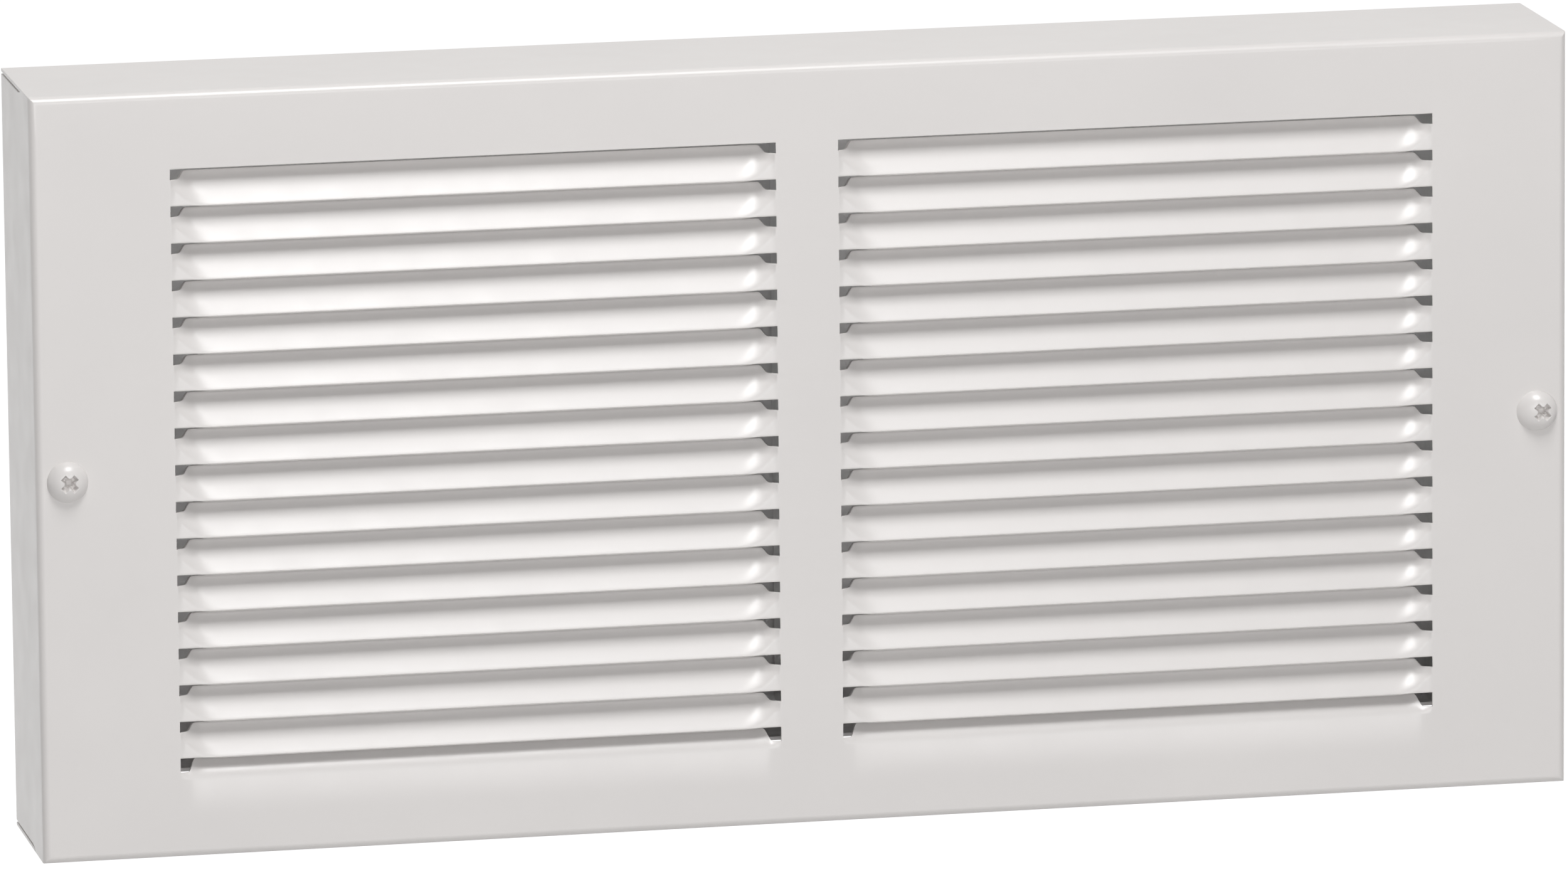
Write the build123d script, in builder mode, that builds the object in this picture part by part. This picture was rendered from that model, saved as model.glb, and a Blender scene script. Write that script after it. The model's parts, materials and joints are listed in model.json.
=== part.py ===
"""Register-style, wall-recessed fan convector heater.

Frame: +Z up, +X to the right of someone facing the heater, the louvres face -Y.
The origin is the centre of the wall plane, where the grille's rear rim rests.
"""

import os
from math import cos, radians, sin

from build123d import *

# ---------------------------------------------------------------- driving sizes
# grille: a folded steel box with two banks of stamped louvres
grille_width = 400.0
grille_height = 198.0
grille_depth = 47.6
grille_sheet = 0.9
grille_bend = 2.0
louvre_count = 16
louvre_pitch = 9.525
louvre_tilt = 26.0
bank_outer_x = 164.3
mullion_half = 8.15
bank_top_z = 79.2
bank_bottom_z = -78.9
lip_tilt = 38.0
lip_reach = 6.4
louvre_tab_height = 5.8
louvre_tab_length = 5.0
grille_screw_x = 192.0
grille_screw_radius = 2.0
grille_screw_hole = 2.6
grille_head_radius = 5.3
grille_head_height = 3.2

# wall can: the galvanised box in the wall
can_width = 350.0
can_height = 162.0
can_depth = 92.0
can_sheet = 1.0
ear_standoff = 14.0
ear_end_x = 196.0
ear_height = 40.0
ear_leg_y = 18.0
ear_sheet = 1.0
ear_gap = 0.05
tab_x = 164.0
tab_z = 73.0
tab_width = 14.0
tab_drop = 14.0
end_flange = 10.0
stud_hole_radius = 2.5
stud_hole_y = 22.0
stud_hole_spacing = 110.0
knockout_radius = 11.1
knockout_shear = 0.6
blank_knockouts = ((150.0, 52.0), (-150.0, 52.0), (-150.0, -52.0))
ground_point = (150.0, -20.0)
ground_radius = 2.0
ground_hex = 4.6
ground_head = 3.0

# supply cable clamp, through the can's right wall
clamp_y = 66.0
clamp_z = -48.0
clamp_bore = 8.0
clamp_neck = 10.4
clamp_thread = 6.0
clamp_flange = 3.0
clamp_flange_radius = 14.0
saddle_bore = 9.5
saddle_length = 17.0
saddle_width = 32.0
saddle_height = 15.0
saddle_drop = 5.5
clamp_bar_width = 9.0
clamp_bar_sheet = 2.5
clamp_bar_rise = 10.5
clamp_screw_reach = 12.0
clamp_screw_radius = 1.6
clamp_head_radius = 3.0
clamp_head_height = 2.0

# deck: chassis tray across the can's mouth, its flanges reaching forward to the louvres
deck_sheet = 0.9
deck_back_y = 1.0
deck_width = 345.0
deck_height = 157.0
deck_flange = 39.0
window_left = -150.0
window_right = -14.0
window_bottom = -44.0
window_top = 60.0
deck_screw_radius = 1.7
deck_screw_hole = 2.2
small_screw_radius = 1.5
rivet_radius = 1.6
ring_throat = 42.0
ring_outer = 58.0

# blower: wheel axis along Y
wheel_x = 90.0
wheel_z = -7.0
wheel_radius = 50.0
wheel_front_y = 4.5
wheel_back_y = 40.5
blade_count = 32
volute_step = 7.0
volute_radius = 58.0
volute_back_y = 46.0
volute_sheet = 0.9
outlet_x = 24.0
eye_hole_radius = 50.0
hub_radius = 9.0
hub_front_y = 27.0
blade_inner = 41.0
blade_sheet = 0.9
blade_curve = 7.5
blade_sweep = 5.0
rim_width = 5.5
rim_depth = 1.4
back_disc = 1.2
set_screw_radius = 2.0
set_screw_y = 31.5

# screws through lugs that stand off the volute's wall, one on each quarter arc
lug_radius = 6.0
half_step = volute_step / 2
lug_diagonal = (volute_radius + lug_radius - 1.0) * cos(radians(45))
step_diagonal = volute_step * cos(radians(45))
housing_screw_points = (
    (wheel_x + half_step - lug_diagonal, wheel_z - half_step - lug_diagonal),
    (
        wheel_x + half_step + lug_diagonal + step_diagonal,
        wheel_z + half_step - lug_diagonal - step_diagonal,
    ),
    (
        wheel_x - half_step + lug_diagonal + 2 * step_diagonal,
        wheel_z + half_step + lug_diagonal + 2 * step_diagonal,
    ),
)

# shaded-pole motor behind the volute
shaft_radius = 2.5
bush_clearance = 0.04
stack_front_y = 58.0
stack_back_y = 78.0
rotor_radius = 13.0
air_gap = 0.35
motor_screw_reach = 22.5
motor_screw_radius = 2.0
shaft_end_y = 89.0
ring_proud = 1.2
stator_width = 60.0
stator_height = 76.0
stator_window_width = 40.0
stator_window_height = 22.0
stator_corner = 5.0
bush_radius = 5.0
bush_length = 7.0
bush_front_y = 47.4
bush_back_y = 81.6
boss_radius = 7.0
bracket_sheet = 1.6
bracket_width = 18.0
bracket_half = 29.0
crown_height = 10.0
crown_half = 12.5
crown_foot = 17.0
bobbin_half = 19.0
bobbin_sheet = 1.5
bobbin_height = 28.0
bobbin_depth = 36.0
core_height = 12.0
sleeve_wall = 1.2
winding_height = 25.0
winding_depth = 33.0
grommet_radius = 4.6
grommet_flange = 1.4
grommet_flange_radius = 6.6
spacer_radius = 3.4
motor_nut_hex = 4.0
motor_nut_height = 3.2

# hot-air duct and element
duct_sheet = 0.8
duct_left = -156.6
duct_right = 23.6
duct_bottom_z = -46.0
duct_top_z = 68.5
duct_back_face_y = 46.4
duct_turn = 44.0
duct_foot = 7.0
element_y = 21.0
element_tube = 4.0
hairpin_xs = (-110.0, -50.0)
hairpin_bend = 15.0
hairpin_straight_top = 46.0
hairpin_foot = -58.0
fin_count = 16
fin_pitch = 5.6
fin_bottom = -41.0
fin_sheet = 0.5
fin_width = 118.0
fin_depth = 26.0
insulator_radius = 3.8
insulator_height = 5.0
pin_radius = 1.5
pin_length = 6.0

# limits on the deck's lower strip
reset_x = -80.0
cutout_x = -24.0
limit_z = -63.0
limit_radius = 9.5
limit_screw_reach = 13.0
limit_plate = 0.8
limit_plate_length = 34.0
limit_plate_height = 9.0
limit_back_y = 14.0
chamber_radius = 3.4
chamber_front_y = 4.0
chamber_back_y = 11.0
collar_radius = 3.1
collar_depth = 1.3
spring_wire = 0.3
spring_coil = 2.3
blade_reach = 7.0
blade_height = 6.3
blade_thick = 0.8
limit_blade_x = 5.5
cutout_blade_x = 5.0
button_radius = 3.6
button_stem = 2.0
cutout_radius = 8.6
cutout_nose_radius = 8.0
cutout_back_y = 12.0

# wiring: leads and push-on wire connectors
lead_radius = 1.3
nut_y = 66.0
nut_top_z = 10.0
nut_radius = 7.0
nut_length = 20.0
line_nut_x = 138.0
return_nut_x = 156.0


# ---------------------------------------------------------------- shared helpers
def at_y(y):
    """Plane facing the viewer at world Y = y: local x is X, local y is Z, extrudes go to -Y."""
    return Plane.XZ.offset(-y)


def at_x(x):
    """Plane at world X = x: local x is Y, local y is Z, extrudes go to +X."""
    return Plane.YZ.offset(x)


def at_z(z):
    """Plane at world Z = z: local x is X, local y is Y, extrudes go to +Z."""
    return Plane.XY.offset(z)


def pan_screws(points, head_y, shank_radius, head_radius, head_height, length):
    """Screws along Y whose heads sit in front of head_y; one separate solid at each (x, z)."""
    with BuildPart() as screws:
        with BuildSketch(at_y(head_y)):
            with Locations(*points):
                Circle(head_radius)
        extrude(amount=head_height)
        fillet(screws.faces().group_by(Axis.Y)[0].edges(), head_height * 0.45)
        with BuildSketch(at_y(head_y + length)):
            with Locations(*points):
                Circle(shank_radius)
        extrude(amount=length)
        with BuildSketch(at_y(head_y - head_height * 0.4)):
            with Locations(*points):
                Rectangle(head_radius * 0.95, head_radius * 0.24)
                Rectangle(head_radius * 0.24, head_radius * 0.95)
        extrude(amount=head_height, mode=Mode.SUBTRACT)
    return screws.part


def rivets(points, face_y, shank_radius, grip):
    """Blind rivets along Y with domed heads in front of face_y."""
    with BuildPart() as group:
        with BuildSketch(at_y(face_y)):
            with Locations(*points):
                Circle(shank_radius * 2)
        extrude(amount=1.0)
        fillet(group.faces().group_by(Axis.Y)[0].edges(), 0.7)
        with BuildSketch(at_y(face_y + grip)):
            with Locations(*points):
                Circle(shank_radius)
        extrude(amount=grip)
    return group.part


def lead(points, bend):
    """An insulated lead along straight runs joined by tangent arcs."""
    with BuildPart() as wire:
        with BuildLine() as route:
            FilletPolyline(*points, radius=bend)
        with BuildSketch(Plane(origin=route.line @ 0, z_dir=route.line % 0)):
            Circle(lead_radius)
        sweep(path=route.line)
    return wire.part


# ---------------------------------------------------------------- grille
front_y = -grille_depth
blade_rise = louvre_pitch * cos(radians(louvre_tilt))
blade_run = louvre_pitch * sin(radians(louvre_tilt))
edge_run = grille_sheet * cos(radians(louvre_tilt))
edge_drop = grille_sheet * sin(radians(louvre_tilt))
lip_run = lip_reach * sin(radians(lip_tilt))
lip_rise = lip_reach * cos(radians(lip_tilt))
lip_edge_run = grille_sheet * cos(radians(lip_tilt))
lip_edge_drop = grille_sheet * sin(radians(lip_tilt))
bank_width = bank_outer_x - mullion_half
bank_centre_x = (bank_outer_x + mullion_half) / 2
bank_height = bank_top_z - bank_bottom_z
bank_centre_z = (bank_top_z + bank_bottom_z) / 2

with BuildPart() as grille:
    with Locations((0, front_y / 2, 0)):
        Box(grille_width, grille_depth, grille_height)
    fillet(grille.faces().sort_by(Axis.Y)[0].edges(), grille_bend)
    offset(amount=-grille_sheet, openings=grille.faces().sort_by(Axis.Y)[-1])
    with BuildSketch(at_y(front_y / 2)):
        with Locations((-bank_centre_x, bank_centre_z), (bank_centre_x, bank_centre_z)):
            Rectangle(bank_width, bank_height)
        with Locations((-grille_screw_x, 0), (grille_screw_x, 0)):
            Circle(grille_screw_hole)
    extrude(amount=grille_depth, mode=Mode.SUBTRACT)
    for bank_x in (-bank_centre_x, bank_centre_x):
        left_end = bank_x - bank_width / 2
        right_end = bank_x + bank_width / 2
        for number in range(louvre_count):
            low_z = bank_top_z - louvre_pitch * (number + 1)
            with BuildSketch(at_x(left_end)):
                with BuildLine():
                    Polyline(
                        (front_y, low_z),
                        (front_y + blade_run, low_z + blade_rise),
                        (front_y + blade_run + edge_run, low_z + blade_rise - edge_drop),
                        (front_y + edge_run, low_z - edge_drop),
                        close=True,
                    )
                make_face()
            extrude(amount=bank_width)
            # flat triangles where each blade is left joined to the face
            with BuildSketch(at_y(front_y + grille_sheet)):
                for end, inward in ((left_end, 1), (right_end, -1)):
                    with BuildLine():
                        Polyline(
                            (end, low_z),
                            (end, low_z + louvre_tab_height),
                            (end + inward * louvre_tab_length, low_z),
                            close=True,
                        )
                    make_face()
            extrude(amount=grille_sheet)
        # lip turned inward along the lower edge of the bank
        with BuildSketch(at_x(left_end)):
            with BuildLine():
                Polyline(
                    (front_y, bank_bottom_z),
                    (front_y + lip_run, bank_bottom_z + lip_rise),
                    (front_y + lip_run + lip_edge_run, bank_bottom_z + lip_rise - lip_edge_drop),
                    (front_y + lip_edge_run, bank_bottom_z - lip_edge_drop),
                    close=True,
                )
            make_face()
        extrude(amount=bank_width)
grille.part.label = "grille"

grille_screws = pan_screws(
    ((-grille_screw_x, 0), (grille_screw_x, 0)),
    front_y,
    grille_screw_radius,
    grille_head_radius,
    grille_head_height,
    grille_depth - ear_standoff + 7.0,
)
grille_screws.label = "grille_screws"

# ---------------------------------------------------------------- wall can
can_half = can_width / 2
can_side = can_half - can_sheet

# wrap: left, back and right walls of one sheet
with BuildPart() as can_wrap:
    with BuildSketch(at_z(-can_height / 2)):
        with Locations((0, can_depth / 2)):
            Rectangle(can_width, can_depth)
        with Locations((0, (can_depth - can_sheet) / 2)):
            Rectangle(2 * can_side, can_depth - can_sheet, mode=Mode.SUBTRACT)
    extrude(amount=can_height)
    # stud screw holes in the left wall
    with BuildSketch(at_x(-can_half)):
        with Locations((stud_hole_y, -stud_hole_spacing / 2), (stud_hole_y, stud_hole_spacing / 2)):
            Circle(stud_hole_radius)
    extrude(amount=can_sheet, mode=Mode.SUBTRACT)
    # open knockout for the cable clamp, and the earth screw's hole in the back
    with BuildSketch(at_x(can_side)):
        with Locations((clamp_y, clamp_z)):
            Circle(knockout_radius)
    extrude(amount=can_sheet, mode=Mode.SUBTRACT)
    with BuildSketch(at_y(can_depth)):
        with Locations(ground_point):
            Circle(ground_radius)
    extrude(amount=can_sheet, mode=Mode.SUBTRACT)
    # knockouts still in place: a sheared ring in the outer face
    with BuildSketch(at_y(can_depth)):
        with Locations(*blank_knockouts):
            Circle(knockout_radius + knockout_shear / 2)
            Circle(knockout_radius - knockout_shear / 2, mode=Mode.SUBTRACT)
    extrude(amount=can_sheet / 2, mode=Mode.SUBTRACT)
can_wrap.part.label = "can_wrap"

# top and bottom walls, each with a flange against the back and two tabs for the deck
with BuildPart() as can_ends:
    for side in (-1, 1):
        wall_z = side * (can_height - can_sheet) / 2
        with Locations((0, (can_depth - can_sheet) / 2, wall_z)):
            Box(2 * can_side, can_depth - can_sheet, can_sheet)
        with Locations((0, can_depth - 1.5 * can_sheet, wall_z - side * end_flange / 2)):
            Box(2 * tab_x, can_sheet, end_flange)
        with BuildSketch(at_y(deck_back_y + can_sheet)):
            with Locations((-tab_x, side * tab_z), (tab_x, side * tab_z)):
                Rectangle(tab_width, tab_drop)
                Circle(deck_screw_radius, mode=Mode.SUBTRACT)
        extrude(amount=can_sheet)
can_ends.part.label = "can_ends"

# angle brackets welded inside the can's sides; their ears stand forward of the wall plane
ear_x = can_side - ear_gap
with BuildPart() as can_ears:
    for side in (-1, 1):
        with BuildSketch(at_z(-ear_height / 2)):
            with Locations((side * (ear_x - ear_sheet / 2), (ear_leg_y - ear_standoff) / 2)):
                Rectangle(ear_sheet, ear_leg_y + ear_standoff)
            with Locations((side * (ear_x + ear_end_x) / 2, -ear_standoff + ear_sheet / 2)):
                Rectangle(ear_end_x - ear_x, ear_sheet)
        extrude(amount=ear_height)
    with BuildSketch(at_y(ear_sheet - ear_standoff)):
        with Locations((-grille_screw_x, 0), (grille_screw_x, 0)):
            Circle(grille_screw_radius)
    extrude(amount=ear_sheet, mode=Mode.SUBTRACT)
can_ears.part.label = "can_ears"

with BuildPart() as ground_screw:
    with BuildSketch(at_y(can_depth - can_sheet)):
        with Locations(ground_point):
            RegularPolygon(ground_hex, 6)
    extrude(amount=ground_head)
    with BuildSketch(at_y(can_depth)):
        with Locations(ground_point):
            Circle(ground_radius)
    extrude(amount=can_sheet)
    with BuildSketch(at_y(can_depth - can_sheet - ground_head / 2)):
        with Locations(ground_point):
            Rectangle(1.5 * ground_hex, ground_hex / 4)
    extrude(amount=ground_head / 2, mode=Mode.SUBTRACT)
ground_screw.part.label = "ground_screw"

# ---------------------------------------------------------------- cable clamp
saddle_start = can_half + clamp_flange
thread_start = can_side - clamp_thread
bar_x = saddle_start + saddle_length - 6.0
bar_z = clamp_z + clamp_bar_rise
clamp_screw_foot = clamp_z - 8.5
clamp_screw_points = (
    (bar_x, clamp_y - clamp_screw_reach),
    (bar_x, clamp_y + clamp_screw_reach),
)

with BuildPart() as cable_clamp_body:
    with BuildSketch(at_x(thread_start)):
        with Locations((clamp_y, clamp_z)):
            Circle(clamp_neck)
    extrude(amount=clamp_thread + can_sheet)
    with BuildSketch(at_x(can_half)):
        with Locations((clamp_y, clamp_z)):
            Circle(clamp_flange_radius)
    extrude(amount=clamp_flange)
    with BuildSketch(at_x(saddle_start)):
        with Locations((clamp_y, clamp_z - saddle_drop)):
            RectangleRounded(saddle_width, saddle_height, 3.0)
        with Locations((clamp_y, clamp_z)):
            Circle(saddle_bore, mode=Mode.SUBTRACT)
    extrude(amount=saddle_length)
    with BuildSketch(at_x(thread_start)):
        with Locations((clamp_y, clamp_z)):
            Circle(clamp_bore)
    extrude(amount=saddle_start - thread_start, mode=Mode.SUBTRACT)
    with BuildSketch(at_z(clamp_screw_foot)):
        with Locations(*clamp_screw_points):
            Circle(clamp_screw_radius)
    extrude(amount=saddle_height, mode=Mode.SUBTRACT)
cable_clamp_body.part.label = "cable_clamp_body"

with BuildPart() as cable_clamp_bar:
    with BuildSketch(at_z(bar_z)):
        with Locations((bar_x, clamp_y)):
            RectangleRounded(clamp_bar_width, saddle_width, 2.0)
        with Locations(*clamp_screw_points):
            Circle(clamp_screw_radius, mode=Mode.SUBTRACT)
    extrude(amount=clamp_bar_sheet)
cable_clamp_bar.part.label = "cable_clamp_bar"

bar_top_z = bar_z + clamp_bar_sheet
with BuildPart() as cable_clamp_screws:
    with BuildSketch(at_z(clamp_screw_foot)):
        with Locations(*clamp_screw_points):
            Circle(clamp_screw_radius)
    extrude(amount=bar_top_z - clamp_screw_foot)
    with BuildSketch(at_z(bar_top_z)):
        with Locations(*clamp_screw_points):
            Circle(clamp_head_radius)
    extrude(amount=clamp_head_height)
    fillet(cable_clamp_screws.faces().group_by(Axis.Z)[-1].edges(), 0.8)
cable_clamp_screws.part.label = "cable_clamp_screws"

with BuildPart() as cable_clamp_locknut:
    with BuildSketch(at_x(can_side - clamp_flange)):
        with Locations((clamp_y, clamp_z)):
            Circle(clamp_flange_radius)
            with PolarLocations(clamp_flange_radius + 0.6, 8):
                Circle(1.8, mode=Mode.SUBTRACT)
            Circle(clamp_neck, mode=Mode.SUBTRACT)
    extrude(amount=clamp_flange)
cable_clamp_locknut.part.label = "cable_clamp_locknut"

# ---------------------------------------------------------------- deck
deck_front_y = deck_back_y - deck_sheet
window_width = window_right - window_left
window_height = window_top - window_bottom
deck_screw_points = ((-tab_x, -tab_z), (tab_x, -tab_z), (-tab_x, tab_z), (tab_x, tab_z))
limit_screw_points = (
    (reset_x - limit_screw_reach, limit_z),
    (reset_x + limit_screw_reach, limit_z),
)
cutout_screw_points = (
    (cutout_x - limit_screw_reach, limit_z),
    (cutout_x + limit_screw_reach, limit_z),
)
baffle_rivet_points = ((7.0, -30.0), (7.0, 30.0), (7.0, 66.0))
ring_rivet_reach = 54.5
ring_rivet_points = [
    (
        wheel_x + ring_rivet_reach * cos(radians(angle)),
        wheel_z + ring_rivet_reach * sin(radians(angle)),
    )
    for angle in (45, 135, 225, 315)
]
duct_rivet_points = ((-130.0, 65.0), (-40.0, 65.0), (-136.0, -49.6), (-52.0, -49.6))

with BuildPart() as deck:
    with BuildSketch(at_y(deck_back_y)):
        Rectangle(deck_width, deck_height)
        with Locations((wheel_x, wheel_z)):
            Circle(eye_hole_radius, mode=Mode.SUBTRACT)
        with Locations(((window_left + window_right) / 2, (window_bottom + window_top) / 2)):
            Rectangle(window_width, window_height, mode=Mode.SUBTRACT)
        with Locations((reset_x, limit_z)):
            Circle(button_radius + 0.9, mode=Mode.SUBTRACT)
        with Locations((cutout_x, limit_z)):
            Circle(cutout_nose_radius + 0.4, mode=Mode.SUBTRACT)
        with Locations(*deck_screw_points):
            Circle(deck_screw_hole, mode=Mode.SUBTRACT)
        with Locations(*limit_screw_points, *cutout_screw_points, *housing_screw_points):
            Circle(small_screw_radius, mode=Mode.SUBTRACT)
        with Locations(*baffle_rivet_points, *ring_rivet_points, *duct_rivet_points):
            Circle(rivet_radius, mode=Mode.SUBTRACT)
    extrude(amount=deck_sheet)
    # flanges round all four edges keep the air between the deck and the louvres
    with BuildSketch(at_y(deck_front_y)):
        Rectangle(deck_width, deck_height)
        Rectangle(deck_width - 2 * deck_sheet, deck_height - 2 * deck_sheet, mode=Mode.SUBTRACT)
    extrude(amount=deck_flange)
deck.part.label = "deck"

deck_screws = pan_screws(deck_screw_points, deck_front_y, deck_screw_radius, 4.0, 2.6, 8.0)
deck_screws.label = "deck_screws"

baffle_half_height = 76.0
with BuildPart() as centre_baffle:
    with BuildSketch(at_z(-baffle_half_height)):
        with BuildLine():
            FilletPolyline(
                (12.0, deck_front_y - duct_sheet / 2),
                (0.0, deck_front_y - duct_sheet / 2),
                (0.0, front_y + grille_sheet + 1.4),
                radius=1.2,
            )
        trace(line_width=duct_sheet)
    extrude(amount=2 * baffle_half_height)
    with BuildSketch(at_y(deck_front_y)):
        with Locations(*baffle_rivet_points):
            Circle(rivet_radius)
    extrude(amount=duct_sheet, mode=Mode.SUBTRACT)
centre_baffle.part.label = "centre_baffle"

rivet_face_y = deck_front_y - duct_sheet
rivet_grip = deck_sheet + duct_sheet
baffle_rivets = rivets(baffle_rivet_points, rivet_face_y, rivet_radius, rivet_grip + 1.2)
baffle_rivets.label = "baffle_rivets"

with BuildPart() as inlet_ring:
    with BuildSketch(at_z(wheel_z)):
        with BuildLine():
            FilletPolyline(
                (wheel_x + ring_outer, deck_front_y - duct_sheet / 2),
                (wheel_x + ring_throat + duct_sheet / 2, deck_front_y - duct_sheet / 2),
                (wheel_x + ring_throat + duct_sheet / 2, wheel_front_y - 0.9),
                radius=3.2,
            )
        trace(line_width=duct_sheet)
    revolve(axis=Axis((wheel_x, 0, wheel_z), (0, 1, 0)))
    with BuildSketch(at_y(deck_front_y)):
        with Locations(*ring_rivet_points):
            Circle(rivet_radius)
    extrude(amount=duct_sheet, mode=Mode.SUBTRACT)
inlet_ring.part.label = "inlet_ring"

ring_rivets = rivets(ring_rivet_points, rivet_face_y, rivet_radius, rivet_grip + 0.4)
ring_rivets.label = "ring_rivets"

# ---------------------------------------------------------------- blower housing
# volute: quarter arcs whose centres step round a small square, so the wall opens out evenly
left_x = wheel_x + half_step - volute_radius
bottom_z = wheel_z - half_step - volute_radius
right_x = wheel_x + half_step + volute_radius + volute_step
top_z = wheel_z + half_step + volute_radius + 2 * volute_step
tongue_bend = 6.0
tongue_z = wheel_z + 10.0
outlet_floor_z = tongue_z + tongue_bend
lug_sheet = 1.5
scroll_depth = volute_back_y - volute_sheet - deck_back_y
motor_screw_points = (
    (wheel_x - motor_screw_reach, wheel_z),
    (wheel_x + motor_screw_reach, wheel_z),
)


def volute_outline():
    """Closed outer outline of the volute, drawn in the open BuildLine."""
    RadiusArc(
        (left_x, wheel_z - half_step), (wheel_x + half_step, bottom_z), -volute_radius
    )
    RadiusArc(
        (wheel_x + half_step, bottom_z), (right_x, wheel_z + half_step), -(volute_radius + volute_step)
    )
    RadiusArc(
        (right_x, wheel_z + half_step),
        (wheel_x - half_step, top_z),
        -(volute_radius + 2 * volute_step),
    )
    Polyline(
        (wheel_x - half_step, top_z),
        (outlet_x, top_z),
        (outlet_x, outlet_floor_z),
        (left_x - tongue_bend, outlet_floor_z),
    )
    RadiusArc((left_x - tongue_bend, outlet_floor_z), (left_x, tongue_z), tongue_bend)
    Line((left_x, tongue_z), (left_x, wheel_z - half_step))


with BuildPart() as blower_housing:
    with BuildSketch(at_y(volute_back_y - volute_sheet)):
        with BuildLine():
            volute_outline()
        make_face()
    extrude(amount=scroll_depth)
    # lugs for the screws through the deck
    with BuildSketch(at_y(deck_back_y + lug_sheet)):
        with Locations(*housing_screw_points):
            Circle(lug_radius)
    extrude(amount=lug_sheet)
    # the air passage, open at the outlet
    with BuildSketch(at_y(volute_back_y - volute_sheet)):
        with BuildLine():
            volute_outline()
        make_face()
        offset(amount=-volute_sheet)
        with Locations((outlet_x, (top_z + outlet_floor_z) / 2)):
            Rectangle(8.0, top_z - outlet_floor_z - 2 * volute_sheet)
    extrude(amount=scroll_depth, mode=Mode.SUBTRACT)
    with BuildSketch(at_y(deck_back_y + lug_sheet)):
        with Locations(*housing_screw_points):
            Circle(small_screw_radius)
    extrude(amount=lug_sheet, mode=Mode.SUBTRACT)
blower_housing.part.label = "blower_housing"

with BuildPart() as blower_back:
    with BuildSketch(at_y(volute_back_y)):
        with BuildLine():
            volute_outline()
        make_face()
        with Locations((wheel_x, wheel_z)):
            Circle(8.0, mode=Mode.SUBTRACT)
        with Locations(*motor_screw_points):
            Circle(grommet_radius, mode=Mode.SUBTRACT)
    extrude(amount=volute_sheet)
blower_back.part.label = "blower_back"

housing_screws = pan_screws(
    housing_screw_points, deck_front_y, small_screw_radius, 3.2, 2.0, 6.0
)
housing_screws.label = "housing_screws"

# ---------------------------------------------------------------- blower wheel
with BuildPart() as blower_wheel:
    with BuildSketch(at_y(wheel_back_y)):
        with Locations((wheel_x, wheel_z)):
            Circle(wheel_radius)
    extrude(amount=back_disc)
    with BuildSketch(at_y(wheel_front_y + rim_depth)):
        with Locations((wheel_x, wheel_z)):
            Circle(wheel_radius)
            Circle(wheel_radius - rim_width, mode=Mode.SUBTRACT)
    extrude(amount=rim_depth)
    with BuildSketch(at_y(wheel_back_y)):
        with Locations((wheel_x, wheel_z)):
            with PolarLocations(0, blade_count):
                with BuildLine():
                    RadiusArc((blade_inner, 0), (wheel_radius - 0.6, blade_sweep), -blade_curve)
                trace(line_width=blade_sheet)
    extrude(amount=wheel_back_y - wheel_front_y)
    with BuildSketch(at_y(wheel_back_y)):
        with Locations((wheel_x, wheel_z)):
            Circle(hub_radius)
    extrude(amount=wheel_back_y - hub_front_y)
    with BuildSketch(at_y(wheel_back_y)):
        with Locations((wheel_x, wheel_z)):
            Circle(shaft_radius)
    extrude(amount=wheel_back_y - hub_front_y, mode=Mode.SUBTRACT)
    with BuildSketch(at_z(wheel_z)):
        with Locations((wheel_x, set_screw_y)):
            Circle(set_screw_radius)
    extrude(amount=hub_radius + 1, mode=Mode.SUBTRACT)
blower_wheel.part.label = "blower_wheel"

with BuildPart() as wheel_set_screw:
    with BuildSketch(at_z(wheel_z + shaft_radius)):
        with Locations((wheel_x, set_screw_y)):
            Circle(set_screw_radius)
    extrude(amount=hub_radius - shaft_radius - 0.6)
    with BuildSketch(at_z(wheel_z + hub_radius - 2.6)):
        with Locations((wheel_x, set_screw_y)):
            RegularPolygon(set_screw_radius * 0.55, 6)
    extrude(amount=3.0, mode=Mode.SUBTRACT)
wheel_set_screw.part.label = "wheel_set_screw"

# ---------------------------------------------------------------- motor
with BuildPart() as motor_shaft:
    with BuildSketch(at_y(shaft_end_y)):
        with Locations((wheel_x, wheel_z)):
            Circle(shaft_radius)
    extrude(amount=shaft_end_y - hub_front_y - 1.0)
    chamfer(motor_shaft.edges().filter_by(GeomType.CIRCLE), 0.4)
motor_shaft.part.label = "motor_shaft"

stack_thick = stack_back_y - stack_front_y
with BuildPart() as motor_rotor:
    with BuildSketch(at_y(stack_back_y)):
        with Locations((wheel_x, wheel_z)):
            Circle(rotor_radius)
    extrude(amount=stack_thick)
    # short-circuit rings stand proud of both ends of the stack
    with BuildSketch(at_y(stack_back_y + ring_proud)):
        with Locations((wheel_x, wheel_z)):
            Circle(rotor_radius - ring_proud)
    extrude(amount=stack_thick + 2 * ring_proud)
    with BuildSketch(at_y(stack_back_y + ring_proud)):
        with Locations((wheel_x, wheel_z)):
            Circle(shaft_radius)
    extrude(amount=stack_thick + 2 * ring_proud, mode=Mode.SUBTRACT)
motor_rotor.part.label = "motor_rotor"

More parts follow.
